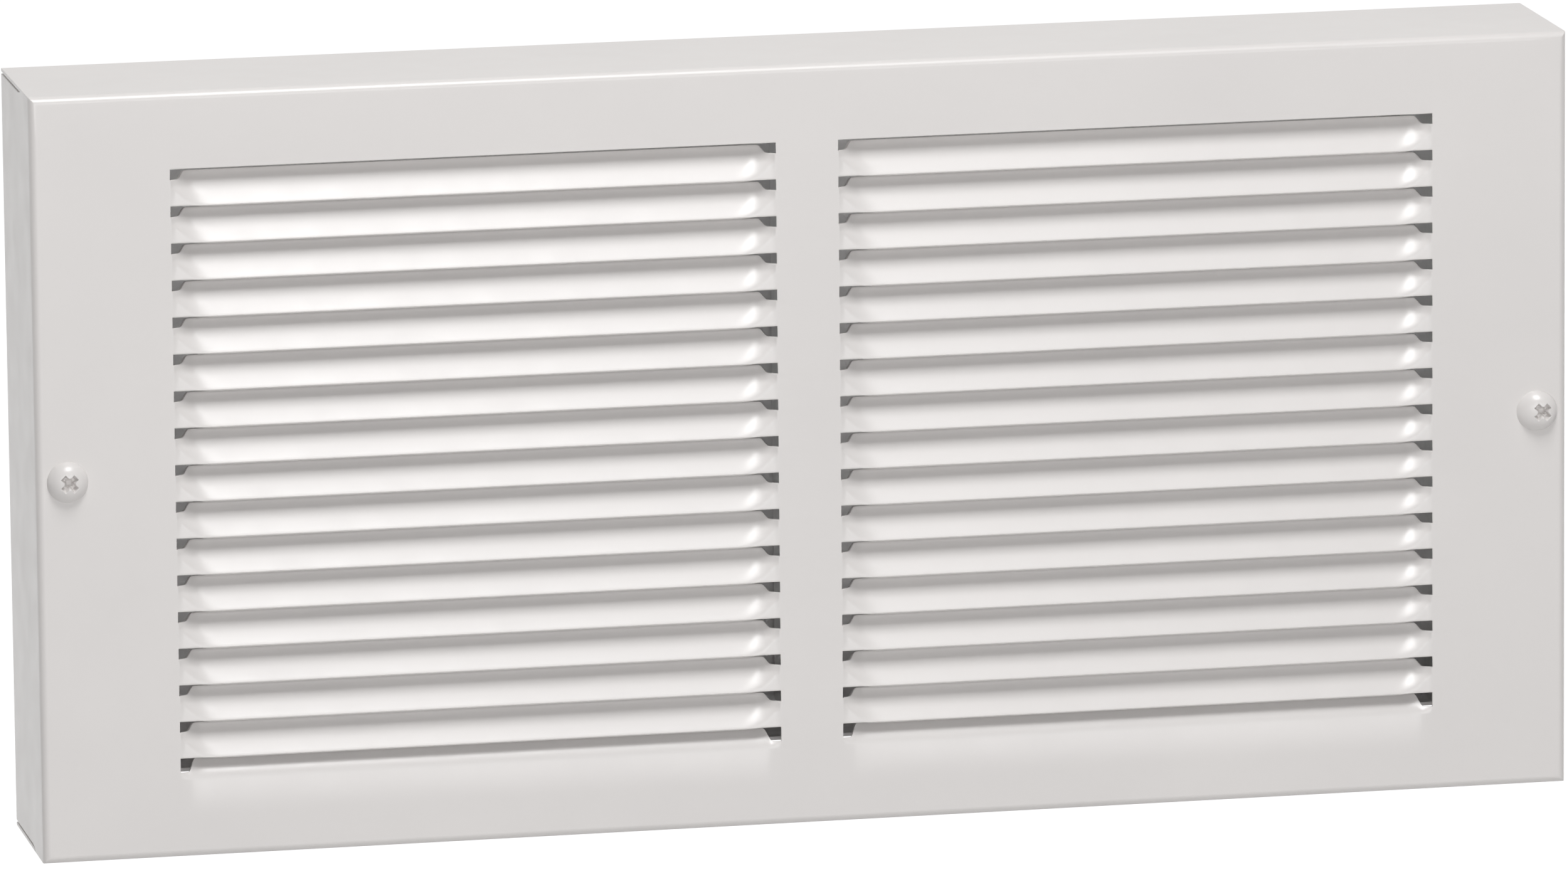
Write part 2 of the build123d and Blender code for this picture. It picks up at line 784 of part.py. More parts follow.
# C-frame: the rotor's bore above, the window over the leg that carries the coil
stator_top_z = wheel_z + stator_height / 2 - 16.0
stator_bottom_z = stator_top_z - stator_height
window_centre_z = stator_bottom_z + core_height + stator_window_height / 2
leg_centre_z = stator_bottom_z + core_height / 2
with BuildPart() as motor_stator:
    with BuildSketch(at_y(stack_back_y)):
        with Locations((wheel_x, (stator_top_z + stator_bottom_z) / 2)):
            RectangleRounded(stator_width, stator_height, stator_corner)
        with Locations((wheel_x, window_centre_z)):
            Rectangle(stator_window_width, stator_window_height, mode=Mode.SUBTRACT)
        with Locations((wheel_x, wheel_z)):
            Circle(rotor_radius + air_gap, mode=Mode.SUBTRACT)
        with Locations(*motor_screw_points):
            Circle(motor_screw_radius, mode=Mode.SUBTRACT)
    extrude(amount=stack_thick)
motor_stator.part.label = "motor_stator"

stack_middle_y = (stack_front_y + stack_back_y) / 2
sleeve_depth = stack_thick + 2 * sleeve_wall
sleeve_height = core_height + 2 * sleeve_wall
with BuildPart() as coil_bobbin:
    for flange_x in (wheel_x - bobbin_half, wheel_x + bobbin_half - bobbin_sheet):
        with BuildSketch(at_x(flange_x)):
            with Locations((stack_middle_y, leg_centre_z)):
                RectangleRounded(bobbin_depth, bobbin_height, 2.0)
        extrude(amount=bobbin_sheet)
    with BuildSketch(at_x(wheel_x - bobbin_half)):
        with Locations((stack_middle_y, leg_centre_z)):
            Rectangle(sleeve_depth, sleeve_height)
    extrude(amount=2 * bobbin_half)
    with BuildSketch(at_x(wheel_x - bobbin_half)):
        with Locations((stack_middle_y, leg_centre_z)):
            Rectangle(stack_thick, core_height)
    extrude(amount=2 * bobbin_half, mode=Mode.SUBTRACT)
coil_bobbin.part.label = "coil_bobbin"

with BuildPart() as motor_coil:
    with BuildSketch(at_x(wheel_x - bobbin_half + bobbin_sheet)):
        with Locations((stack_middle_y, leg_centre_z)):
            RectangleRounded(winding_depth, winding_height, 4.0)
            Rectangle(sleeve_depth, sleeve_height, mode=Mode.SUBTRACT)
    extrude(amount=2 * (bobbin_half - bobbin_sheet))
motor_coil.part.label = "motor_coil"


def motor_bracket(stack_face_y, outward):
    """Pressed strap across the rotor bore, with a boss that holds the bush."""
    foot_y = stack_face_y + outward * bracket_sheet / 2
    crown_y = stack_face_y + outward * (crown_height - bracket_sheet / 2)
    boss_start = stack_face_y + outward * (crown_height - bracket_sheet)
    boss_end = boss_start - outward * (bush_length - 1.5)
    with BuildPart() as bracket:
        with BuildSketch(at_z(wheel_z - bracket_width / 2)):
            with BuildLine():
                Polyline(
                    (wheel_x - bracket_half, foot_y),
                    (wheel_x - crown_foot, foot_y),
                    (wheel_x - crown_half, crown_y),
                    (wheel_x + crown_half, crown_y),
                    (wheel_x + crown_foot, foot_y),
                    (wheel_x + bracket_half, foot_y),
                )
            trace(line_width=bracket_sheet)
        extrude(amount=bracket_width)
        with BuildSketch(at_y(max(boss_start, boss_end))):
            with Locations((wheel_x, wheel_z)):
                Circle(boss_radius)
        extrude(amount=abs(boss_start - boss_end))
        with BuildSketch(at_y(stack_back_y + 2 * crown_height)):
            with Locations((wheel_x, wheel_z)):
                Circle(bush_radius)
            with Locations(*motor_screw_points):
                Circle(motor_screw_radius)
        extrude(amount=stack_thick + 4 * crown_height, mode=Mode.SUBTRACT)
    return bracket.part


motor_bracket_front = motor_bracket(stack_front_y, -1)
motor_bracket_front.label = "motor_bracket_front"
motor_bracket_rear = motor_bracket(stack_back_y, 1)
motor_bracket_rear.label = "motor_bracket_rear"

with BuildPart() as motor_bearings:
    for bush_y in (bush_front_y, bush_back_y):
        with BuildSketch(at_y(bush_y + bush_length)):
            with Locations((wheel_x, wheel_z)):
                Circle(bush_radius)
                Circle(shaft_radius + bush_clearance, mode=Mode.SUBTRACT)
        extrude(amount=bush_length)
motor_bearings.part.label = "motor_bearings"

screw_head_y = volute_back_y - volute_sheet - grommet_flange
spacer_front_y = volute_back_y + grommet_flange
nut_front_y = stack_back_y + bracket_sheet

motor_screws = pan_screws(
    motor_screw_points,
    screw_head_y,
    motor_screw_radius,
    3.6,
    1.8,
    nut_front_y + motor_nut_height + 1.4 - screw_head_y,
)
motor_screws.label = "motor_screws"

with BuildPart() as motor_grommets:
    for flange_back_y in (screw_head_y + grommet_flange, spacer_front_y):
        with BuildSketch(at_y(flange_back_y)):
            with Locations(*motor_screw_points):
                Circle(grommet_flange_radius)
        extrude(amount=grommet_flange)
    with BuildSketch(at_y(spacer_front_y)):
        with Locations(*motor_screw_points):
            Circle(grommet_radius)
    extrude(amount=spacer_front_y - screw_head_y)
    with BuildSketch(at_y(spacer_front_y)):
        with Locations(*motor_screw_points):
            Circle(motor_screw_radius)
    extrude(amount=spacer_front_y - screw_head_y, mode=Mode.SUBTRACT)
motor_grommets.part.label = "motor_grommets"

with BuildPart() as motor_spacers:
    with BuildSketch(at_y(stack_front_y - bracket_sheet)):
        with Locations(*motor_screw_points):
            Circle(spacer_radius)
        with Locations(*motor_screw_points):
            Circle(motor_screw_radius, mode=Mode.SUBTRACT)
    extrude(amount=stack_front_y - bracket_sheet - spacer_front_y)
motor_spacers.part.label = "motor_spacers"

with BuildPart() as motor_nuts:
    with BuildSketch(at_y(nut_front_y + motor_nut_height)):
        with Locations(*motor_screw_points):
            RegularPolygon(motor_nut_hex, 6)
        with Locations(*motor_screw_points):
            Circle(motor_screw_radius, mode=Mode.SUBTRACT)
    extrude(amount=motor_nut_height)
motor_nuts.part.label = "motor_nuts"

# ---------------------------------------------------------------- hot-air duct
duct_wall_y = duct_back_face_y + duct_sheet / 2
with BuildPart() as duct_back:
    with BuildSketch(at_z(duct_bottom_z)):
        with BuildLine():
            FilletPolyline(
                (duct_right, duct_wall_y),
                (duct_left + duct_sheet / 2, duct_wall_y),
                (duct_left + duct_sheet / 2, deck_back_y),
                radius=duct_turn,
            )
        trace(line_width=duct_sheet)
    extrude(amount=duct_top_z - duct_bottom_z)
duct_back.part.label = "duct_back"


duct_inner_left = duct_left + duct_sheet
duct_inner_turn = duct_turn - duct_sheet / 2
foot_centre_x = (window_left + window_right) / 2
foot_length = window_width - 10.0


def duct_plan():
    """Plan of the duct's inside, from the deck to the back sheet, in the open BuildLine."""
    turn_x = duct_inner_left + duct_inner_turn
    turn_y = duct_back_face_y - duct_inner_turn
    Line((duct_right, duct_back_face_y), (turn_x, duct_back_face_y))
    RadiusArc((turn_x, duct_back_face_y), (duct_inner_left, turn_y), duct_inner_turn)
    Polyline(
        (duct_inner_left, turn_y),
        (duct_inner_left, deck_back_y),
        (duct_right, deck_back_y),
        (duct_right, duct_back_face_y),
    )


with BuildPart() as duct_top:
    with BuildSketch(at_z(duct_top_z - duct_sheet)):
        with BuildLine():
            duct_plan()
        make_face()
    extrude(amount=duct_sheet)
    with BuildSketch(at_y(deck_back_y + duct_sheet)):
        with Locations((foot_centre_x, duct_top_z - duct_foot / 2)):
            Rectangle(foot_length, duct_foot)
        with Locations(*duct_rivet_points[:2]):
            Circle(rivet_radius, mode=Mode.SUBTRACT)
    extrude(amount=duct_sheet)
duct_top.part.label = "duct_top"

leg_points = [
    (centre + side * hairpin_bend, element_y) for centre in hairpin_xs for side in (-1, 1)
]
with BuildPart() as duct_bottom:
    with BuildSketch(at_z(duct_bottom_z)):
        with BuildLine():
            duct_plan()
        make_face()
    extrude(amount=duct_sheet)
    with BuildSketch(at_x(duct_right - duct_sheet)):
        with BuildLine():
            Polyline(
                (deck_back_y, duct_bottom_z),
                (duct_back_face_y, duct_bottom_z),
                (duct_back_face_y, outlet_floor_z),
                (deck_back_y, outlet_floor_z),
                close=True,
            )
        make_face()
    extrude(amount=duct_sheet)
    with BuildSketch(at_y(deck_back_y + duct_sheet)):
        with Locations((foot_centre_x, duct_bottom_z - duct_foot / 2)):
            Rectangle(foot_length, duct_foot)
    extrude(amount=duct_sheet)
    with BuildSketch(at_z(duct_bottom_z)):
        with Locations(*leg_points):
            Circle(element_tube)
    extrude(amount=duct_sheet, mode=Mode.SUBTRACT)
    with BuildSketch(at_y(deck_back_y + duct_sheet)):
        with Locations(*duct_rivet_points[2:]):
            Circle(rivet_radius)
    extrude(amount=duct_sheet, mode=Mode.SUBTRACT)
duct_bottom.part.label = "duct_bottom"

duct_rivets = rivets(duct_rivet_points, deck_front_y, rivet_radius, rivet_grip + 1.0)
duct_rivets.label = "duct_rivets"

# ---------------------------------------------------------------- heating element
with BuildPart() as element_sheaths:
    for centre in hairpin_xs:
        with BuildLine() as hairpin:
            left_leg = Line(
                (centre - hairpin_bend, element_y, hairpin_foot),
                (centre - hairpin_bend, element_y, hairpin_straight_top),
            )
            bend = ThreePointArc(
                left_leg @ 1,
                (centre, element_y, hairpin_straight_top + hairpin_bend),
                (centre + hairpin_bend, element_y, hairpin_straight_top),
            )
            Line(bend @ 1, (centre + hairpin_bend, element_y, hairpin_foot))
        with BuildSketch(Plane(origin=hairpin.line @ 0, z_dir=(0, 0, 1))):
            Circle(element_tube)
        sweep(path=hairpin.line)
element_sheaths.part.label = "element_sheaths"

with BuildPart() as element_fins:
    for number in range(fin_count):
        with BuildSketch(at_z(fin_bottom + number * fin_pitch)):
            with Locations(((hairpin_xs[0] + hairpin_xs[1]) / 2, element_y)):
                RectangleRounded(fin_width, fin_depth, 2.0)
            with Locations(*leg_points):
                Circle(element_tube, mode=Mode.SUBTRACT)
        extrude(amount=fin_sheet)
element_fins.part.label = "element_fins"

terminal_end = hairpin_foot - insulator_height - pin_length
with BuildPart() as element_insulators:
    with BuildSketch(at_z(hairpin_foot - insulator_height)):
        with Locations(*leg_points):
            Circle(insulator_radius)
        with Locations(*leg_points):
            Circle(pin_radius, mode=Mode.SUBTRACT)
    extrude(amount=insulator_height)
element_insulators.part.label = "element_insulators"

with BuildPart() as element_terminals:
    with BuildSketch(at_z(terminal_end)):
        with Locations(*leg_points):
            Circle(pin_radius)
    extrude(amount=hairpin_foot - terminal_end)
element_terminals.part.label = "element_terminals"

# ---------------------------------------------------------------- limits
with BuildPart() as limit_body:
    with BuildSketch(at_y(deck_back_y + limit_plate)):
        with Locations((reset_x, limit_z)):
            SlotOverall(limit_plate_length, limit_plate_height)
    extrude(amount=limit_plate)
    with BuildSketch(at_y(limit_back_y)):
        with Locations((reset_x, limit_z)):
            Circle(limit_radius)
    extrude(amount=limit_back_y - deck_back_y)
    fillet(limit_body.faces().sort_by(Axis.Y)[-1].edges(), 1.0)
    with BuildSketch(at_y(chamber_back_y)):
        with Locations((reset_x, limit_z)):
            Circle(button_stem + 0.06)
    extrude(amount=chamber_back_y - deck_back_y, mode=Mode.SUBTRACT)
    with BuildSketch(at_y(chamber_back_y)):
        with Locations((reset_x, limit_z)):
            Circle(chamber_radius)
    extrude(amount=chamber_back_y - chamber_front_y, mode=Mode.SUBTRACT)
    with BuildSketch(at_y(deck_back_y + limit_plate)):
        with Locations(*limit_screw_points):
            Circle(small_screw_radius)
    extrude(amount=limit_plate, mode=Mode.SUBTRACT)
limit_body.part.label = "limit_body"

collar_front_y = chamber_front_y + 0.1
collar_back_y = collar_front_y + collar_depth
button_face_y = deck_front_y - 7.0
with BuildPart() as reset_button:
    with BuildSketch(at_y(button_face_y + 3.0)):
        with Locations((reset_x, limit_z)):
            Circle(button_radius)
    extrude(amount=3.0)
    fillet(reset_button.faces().sort_by(Axis.Y)[0].edges(), 0.9)
    with BuildSketch(at_y(collar_front_y)):
        with Locations((reset_x, limit_z)):
            Circle(button_stem)
    extrude(amount=collar_front_y - button_face_y - 1.0)
    with BuildSketch(at_y(collar_back_y)):
        with Locations((reset_x, limit_z)):
            Circle(collar_radius)
    extrude(amount=collar_depth)
reset_button.part.label = "reset_button"

spring_start_y = collar_back_y + spring_wire + 0.02
spring_length = chamber_back_y - collar_back_y - 2 * (spring_wire + 0.02)
with BuildPart() as reset_spring:
    with BuildLine() as coil_line:
        Helix(
            pitch=spring_length / 4.0,
            height=spring_length,
            radius=spring_coil,
            center=(reset_x, spring_start_y, limit_z),
            direction=(0, 1, 0),
        )
    with BuildSketch(Plane(origin=coil_line.line @ 0, z_dir=coil_line.line % 0)):
        Circle(spring_wire)
    sweep(path=coil_line.line, is_frenet=True)
reset_spring.part.label = "reset_spring"

with BuildPart() as limit_terminals:
    for side in (-1, 1):
        with Locations((reset_x + side * limit_blade_x, limit_back_y + blade_reach / 2, limit_z)):
            Box(blade_thick, blade_reach, blade_height)
limit_terminals.part.label = "limit_terminals"

with BuildPart() as cutout_body:
    with BuildSketch(at_y(deck_back_y + limit_plate)):
        with Locations((cutout_x, limit_z)):
            SlotOverall(limit_plate_length, limit_plate_height)
            Circle(limit_radius)
    extrude(amount=limit_plate)
    with BuildSketch(at_y(cutout_back_y)):
        with Locations((cutout_x, limit_z)):
            Circle(cutout_radius)
    extrude(amount=cutout_back_y - deck_back_y)
    with BuildSketch(at_y(deck_back_y)):
        with Locations((cutout_x, limit_z)):
            Circle(cutout_nose_radius)
    extrude(amount=4.0)
    fillet(cutout_body.faces().sort_by(Axis.Y)[0].edges(), 1.2)
    with BuildSketch(at_y(deck_back_y + limit_plate)):
        with Locations(*cutout_screw_points):
            Circle(small_screw_radius)
    extrude(amount=limit_plate, mode=Mode.SUBTRACT)
cutout_body.part.label = "cutout_body"

cutout_blade_y = cutout_back_y + blade_reach / 2
with BuildPart() as cutout_terminals:
    for side in (-1, 1):
        with Locations((cutout_x + side * cutout_blade_x, cutout_blade_y, limit_z)):
            Box(blade_thick, blade_reach, blade_height)
cutout_terminals.part.label = "cutout_terminals"

limit_screws = pan_screws(
    limit_screw_points, deck_front_y, small_screw_radius, 3.0, 1.8, 4.5
)
limit_screws.label = "limit_screws"
cutout_screws = pan_screws(
    cutout_screw_points, deck_front_y, small_screw_radius, 3.0, 1.8, 4.5
)
cutout_screws.label = "cutout_screws"

# ---------------------------------------------------------------- wiring
with BuildPart() as wire_connectors:
    for nut_x in (line_nut_x, return_nut_x):
        with BuildSketch(at_z(nut_top_z)):
            with Locations((nut_x, nut_y)):
                Circle(nut_radius)
        extrude(amount=-nut_length, taper=9)
wire_connectors.part.label = "wire_connectors"

lead_side = 2 * lead_radius
pin_z = terminal_end + 1.8
pin_y = element_y + pin_radius
limit_blade_end = limit_back_y + blade_reach
cutout_blade_end = cutout_back_y + blade_reach
leads = {
    # supply side: up over the motor, down the back of the duct, forward to the cutout
    "lead_line": lead(
        (
            (line_nut_x - lead_side, nut_y, nut_top_z),
            (line_nut_x - lead_side, nut_y, 54.0),
            (10.0, nut_y, 54.0),
            (cutout_x + cutout_blade_x, nut_y, 20.0),
            (cutout_x + cutout_blade_x, nut_y, limit_z),
            (cutout_x + cutout_blade_x, cutout_blade_end, limit_z),
        ),
        9.0,
    ),
    "lead_return": lead(
        (
            (return_nut_x - lead_side, nut_y, nut_top_z),
            (return_nut_x - lead_side, nut_y, 62.0),
            (-100.0, nut_y, 62.0),
            (leg_points[0][0], nut_y, 30.0),
            (leg_points[0][0], nut_y, pin_z),
            (leg_points[0][0], pin_y, pin_z),
        ),
        9.0,
    ),
    "limit_link": lead(
        (
            (cutout_x - cutout_blade_x, cutout_blade_end, limit_z),
            (cutout_x - cutout_blade_x, 40.0, limit_z),
            (reset_x + limit_blade_x, 40.0, limit_z),
            (reset_x + limit_blade_x, limit_blade_end, limit_z),
        ),
        8.0,
    ),
    "limit_to_element": lead(
        (
            (reset_x - limit_blade_x, limit_blade_end, limit_z),
            (reset_x - limit_blade_x, 34.0, limit_z),
            (reset_x - limit_blade_x, 52.0, pin_z),
            (leg_points[3][0], 52.0, pin_z),
            (leg_points[3][0], pin_y, pin_z),
        ),
        6.0,
    ),
    "element_link": lead(
        (
            (leg_points[1][0], pin_y, pin_z),
            (leg_points[1][0], 34.0, pin_z),
            (leg_points[2][0], 34.0, pin_z),
            (leg_points[2][0], pin_y, pin_z),
        ),
        5.0,
    ),
}
for name, wire in leads.items():
    wire.label = name

coil_end_x = wheel_x + bobbin_half
rear_lead_y = stack_back_y + 3.0
front_lead_y = stack_front_y - 3.0
with BuildPart() as motor_leads:
    add(
        lead(
            (
                (coil_end_x, rear_lead_y, leg_centre_z),
                (line_nut_x + lead_side, rear_lead_y, leg_centre_z),
                (line_nut_x + lead_side, rear_lead_y, 36.0),
                (line_nut_x + lead_side, nut_y, 36.0),
                (line_nut_x + lead_side, nut_y, nut_top_z),
            ),
            5.5,
        )
    )
    add(
        lead(
            (
                (coil_end_x, front_lead_y, leg_centre_z),
                (return_nut_x + lead_side, front_lead_y, leg_centre_z),
                (return_nut_x + lead_side, front_lead_y, 30.0),
                (return_nut_x + lead_side, nut_y, 38.0),
                (return_nut_x + lead_side, nut_y, nut_top_z),
            ),
            3.0,
        )
    )
motor_leads.part.label = "motor_leads"

# ---------------------------------------------------------------- files
pieces = [
    grille.part,
    grille_screws,
    can_wrap.part,
    can_ends.part,
    can_ears.part,
    ground_screw.part,
    cable_clamp_body.part,
    cable_clamp_bar.part,
    cable_clamp_screws.part,
    cable_clamp_locknut.part,
    deck.part,
    deck_screws,
    centre_baffle.part,
    baffle_rivets,
    inlet_ring.part,
    ring_rivets,
    blower_housing.part,
    blower_back.part,
    housing_screws,
    blower_wheel.part,
    wheel_set_screw.part,
    motor_shaft.part,
    motor_rotor.part,
    motor_stator.part,
    coil_bobbin.part,
    motor_coil.part,
    motor_bracket_front,
    motor_bracket_rear,
    motor_bearings.part,
    motor_screws,
    motor_grommets.part,
    motor_spacers.part,
    motor_nuts.part,
    duct_back.part,
    duct_top.part,
    duct_bottom.part,
    duct_rivets,
    element_sheaths.part,
    element_fins.part,
    element_insulators.part,
    element_terminals.part,
    limit_body.part,
    reset_button.part,
    reset_spring.part,
    limit_terminals.part,
    limit_screws,
    cutout_body.part,
    cutout_terminals.part,
    cutout_screws,
    wire_connectors.part,
    motor_leads.part,
    *leads.values(),
]

os.makedirs("parts", exist_ok=True)
for piece in pieces:
    export_step(piece, f"parts/{piece.label}.step")
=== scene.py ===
"""Looks of the register-style fan convector heater, in metres.

The cover, its two screws and the reset button's spring are remade here; every other piece keeps
its CAD shape and gets a material.
"""

import json
from collections import namedtuple
from math import cos, pi, radians, sin

import bmesh
import bpy
from mathutils import Matrix, Vector


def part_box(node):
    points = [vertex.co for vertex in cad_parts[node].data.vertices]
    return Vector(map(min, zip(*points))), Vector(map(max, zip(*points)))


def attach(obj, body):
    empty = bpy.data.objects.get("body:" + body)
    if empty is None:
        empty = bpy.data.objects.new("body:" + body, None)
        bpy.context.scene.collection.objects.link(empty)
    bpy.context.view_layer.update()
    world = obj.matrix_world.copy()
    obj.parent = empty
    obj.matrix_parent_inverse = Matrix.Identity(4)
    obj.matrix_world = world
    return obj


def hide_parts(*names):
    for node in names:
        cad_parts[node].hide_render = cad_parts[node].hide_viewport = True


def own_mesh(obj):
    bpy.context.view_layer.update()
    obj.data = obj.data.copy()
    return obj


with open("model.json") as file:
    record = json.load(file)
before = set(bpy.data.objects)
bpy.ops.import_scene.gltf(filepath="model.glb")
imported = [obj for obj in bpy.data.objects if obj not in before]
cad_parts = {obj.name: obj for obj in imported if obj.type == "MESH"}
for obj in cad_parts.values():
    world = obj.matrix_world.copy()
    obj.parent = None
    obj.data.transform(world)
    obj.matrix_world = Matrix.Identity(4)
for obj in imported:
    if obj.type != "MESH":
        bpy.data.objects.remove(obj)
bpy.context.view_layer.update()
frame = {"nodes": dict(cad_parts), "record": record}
nodes = frame["nodes"]

MM = 0.001

# ---------------------------------------------------------------- sizes read from the frame
cover_low, cover_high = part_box("grille")
front_y = cover_low.y
half_width = cover_high.x
half_height = cover_high.z
screw_low, screw_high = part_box("grille_screws")
head_radius = (screw_high.z - screw_low.z) / 2
head_height = front_y - screw_low.y

# cover: sheet, bends and the place of the two stamped banks
sheet = 0.9 * MM
bend = 2.0 * MM
edge_rounding = 0.16 * MM
bank_outer = 164.3 * MM
mullion_half = 8.15 * MM
bank_width = bank_outer - mullion_half
bank_top = 79.2 * MM
lip_fold = -78.9 * MM

# louvres: pitch, slope and how far up each end is joined to the face
pitch = 9.525 * MM
blade_count = 16
blade_rise = 8.56 * MM
blade_run = 4.18 * MM
blade_joint = 6.7 * MM
blade_bow = 1.25
lip_rise = 5.0 * MM
lip_run = 3.9 * MM
lip_joint = 2.0 * MM

# louvre ends: ridge, notch and the length over which the metal twists into the slope
ridge_height = 4.9 * MM
ridge_reach = 5.0 * MM
lip_ridge_reach = 1.6 * MM
notch_width = 2.2 * MM
notch_slope = 2.0 * MM
twist_length = 6.5 * MM
tab_lean = 0.16
tab_length = 1.2 * MM

# corner seams between the flanges, closed near the face and open at the wall
seam_depth = 13.6 * MM
seam_gap = 0.5 * MM

# cover screws
shank_radius = 2.0 * MM
thread_pitch = 1.05 * MM
thread_depth = 0.32 * MM
plain_shank = 8 * MM
point_length = 1.5 * MM
head_rim = 0.25 * MM
recess_reach = 2.5 * MM
recess_width = 0.85 * MM
recess_depth = 3.0 * MM
left_screw_lean = 0.08
right_screw_lean = 0.36

# reset button's spring
spring_wire = 0.3 * MM
spring_turns = 5


# ---------------------------------------------------------------- materials
class Nodes:
    """A new material, with short ways to add and join its nodes."""

    # sockets of a colour Mix node
    mix_factor, mix_first, mix_second, mix_result = 0, 6, 7, 2

    def __init__(self, name):
        self.material = bpy.data.materials.new(name)
        self.material.use_nodes = True
        self.tree = self.material.node_tree
        self.shader = self.tree.nodes["Principled BSDF"]
        self.place = self.add("ShaderNodeTexCoord").outputs["Object"]

    def add(self, kind, **values):
        node = self.tree.nodes.new(kind)
        for key, value in values.items():
            setattr(node, key, value)
        return node

    def join(self, source, target):
        self.tree.links.new(source, target)

    def stretched(self, scale):
        """Object coordinates scaled along each axis."""
        mapping = self.add("ShaderNodeMapping")
        mapping.inputs["Scale"].default_value = scale
        self.join(self.place, mapping.inputs["Vector"])
        return mapping.outputs["Vector"]

    def noise(self, size, detail=3.0, stretch=(1, 1, 1)):
        """Noise whose features are about size metres across."""
        node = self.add("ShaderNodeTexNoise")
        node.inputs["Scale"].default_value = 1.0 / size
        node.inputs["Detail"].default_value = detail
        self.join(self.stretched(stretch), node.inputs["Vector"])
        return node.outputs["Fac"]

    def ramp(self, source, low, high, out_low, out_high):
        """source from low..high becomes out_low..out_high."""
        node = self.add("ShaderNodeMapRange")
        node.inputs["From Min"].default_value = low
        node.inputs["From Max"].default_value = high
        node.inputs["To Min"].default_value = out_low
        node.inputs["To Max"].default_value = out_high
        self.join(source, node.inputs["Value"])
        return node.outputs["Result"]

    def mix(self, factor, first, second):
        """Colour between first and second by a factor socket; each is a colour or a socket."""
        node = self.add("ShaderNodeMix", data_type="RGBA")
        for number, value in ((self.mix_first, first), (self.mix_second, second)):
            if isinstance(value, tuple):
                node.inputs[number].default_value = (*value, 1.0)
            else:
                self.join(value, node.inputs[number])
        self.join(factor, node.inputs[self.mix_factor])
        return node.outputs[self.mix_result]

    def bump(self, height, distance, strength=1.0, under=None):
        """Relief from a height socket, on top of the relief under it."""
        node = self.add("ShaderNodeBump")
        node.inputs["Distance"].default_value = distance
        node.inputs["Strength"].default_value = strength
        self.join(height, node.inputs["Height"])
        if under is not None:
            self.join(under, node.inputs["Normal"])
        return node.outputs["Normal"]

    def worn_edges(self, low, high):
        """1 along raised edges, 0 elsewhere."""
        point = self.add("ShaderNodeNewGeometry").outputs["Pointiness"]
        return self.ramp(point, low, high, 0.0, 1.0)

    def set(self, **values):
        """Shader sockets by name, with _ for each space."""
        for key, value in values.items():
            self.shader.inputs[key.replace("_", " ")].default_value = value


def powder_coat(name, colour, shade):
    """Satin paint: faint patches and speckle, orange peel over fine grain."""
    m = Nodes(name)
    patches = m.ramp(m.noise(60 * MM), 0.3, 0.7, 0.0, 1.0)
    speckle = m.ramp(m.noise(1.6 * MM), 0.62, 0.75, 0.0, 0.25)
    tint = m.mix(patches, colour, shade)
    m.join(m.mix(speckle, tint, shade), m.shader.inputs["Base Color"])
    gloss = m.ramp(m.noise(9 * MM), 0.3, 0.7, 0.30, 0.37)
    m.join(gloss, m.shader.inputs["Roughness"])
    peel = m.bump(m.noise(1.5 * MM, detail=2.0), 0.02 * MM, 0.35)
    grain = m.bump(m.noise(0.35 * MM, detail=1.0), 0.004 * MM, 0.25, peel)
    m.join(grain, m.shader.inputs["Normal"])
    m.set(IOR=1.6, Specular_IOR_Level=0.62)
    return m.material


def metal(name, colour, shade, size, rough, brush=(1, 1, 1), depth=0.02, dark_edges=False):
    """Bare or plated metal: two tones, brushed or granular relief, bright or dulled edges."""
    m = Nodes(name)
    tone = m.ramp(m.noise(size, detail=5.0, stretch=brush), 0.35, 0.65, 0.0, 1.0)
    base = m.mix(tone, colour, shade)
    edge = m.worn_edges(0.52, 0.6)
    dulled = tuple(c * 0.5 for c in shade)
    polished = tuple(min(1.0, c * 1.35) for c in colour)
    m.join(
        m.mix(edge, base, dulled if dark_edges else polished), m.shader.inputs["Base Color"]
    )
    smear = m.noise(size * 0.7, detail=4.0, stretch=brush)
    m.join(m.ramp(smear, 0.3, 0.7, rough - 0.1, rough + 0.12), m.shader.inputs["Roughness"])
    relief = m.bump(m.noise(0.5 * MM, stretch=brush), depth * MM, 0.5)
    m.join(relief, m.shader.inputs["Normal"])
    m.set(Metallic=1.0)
    return m.material


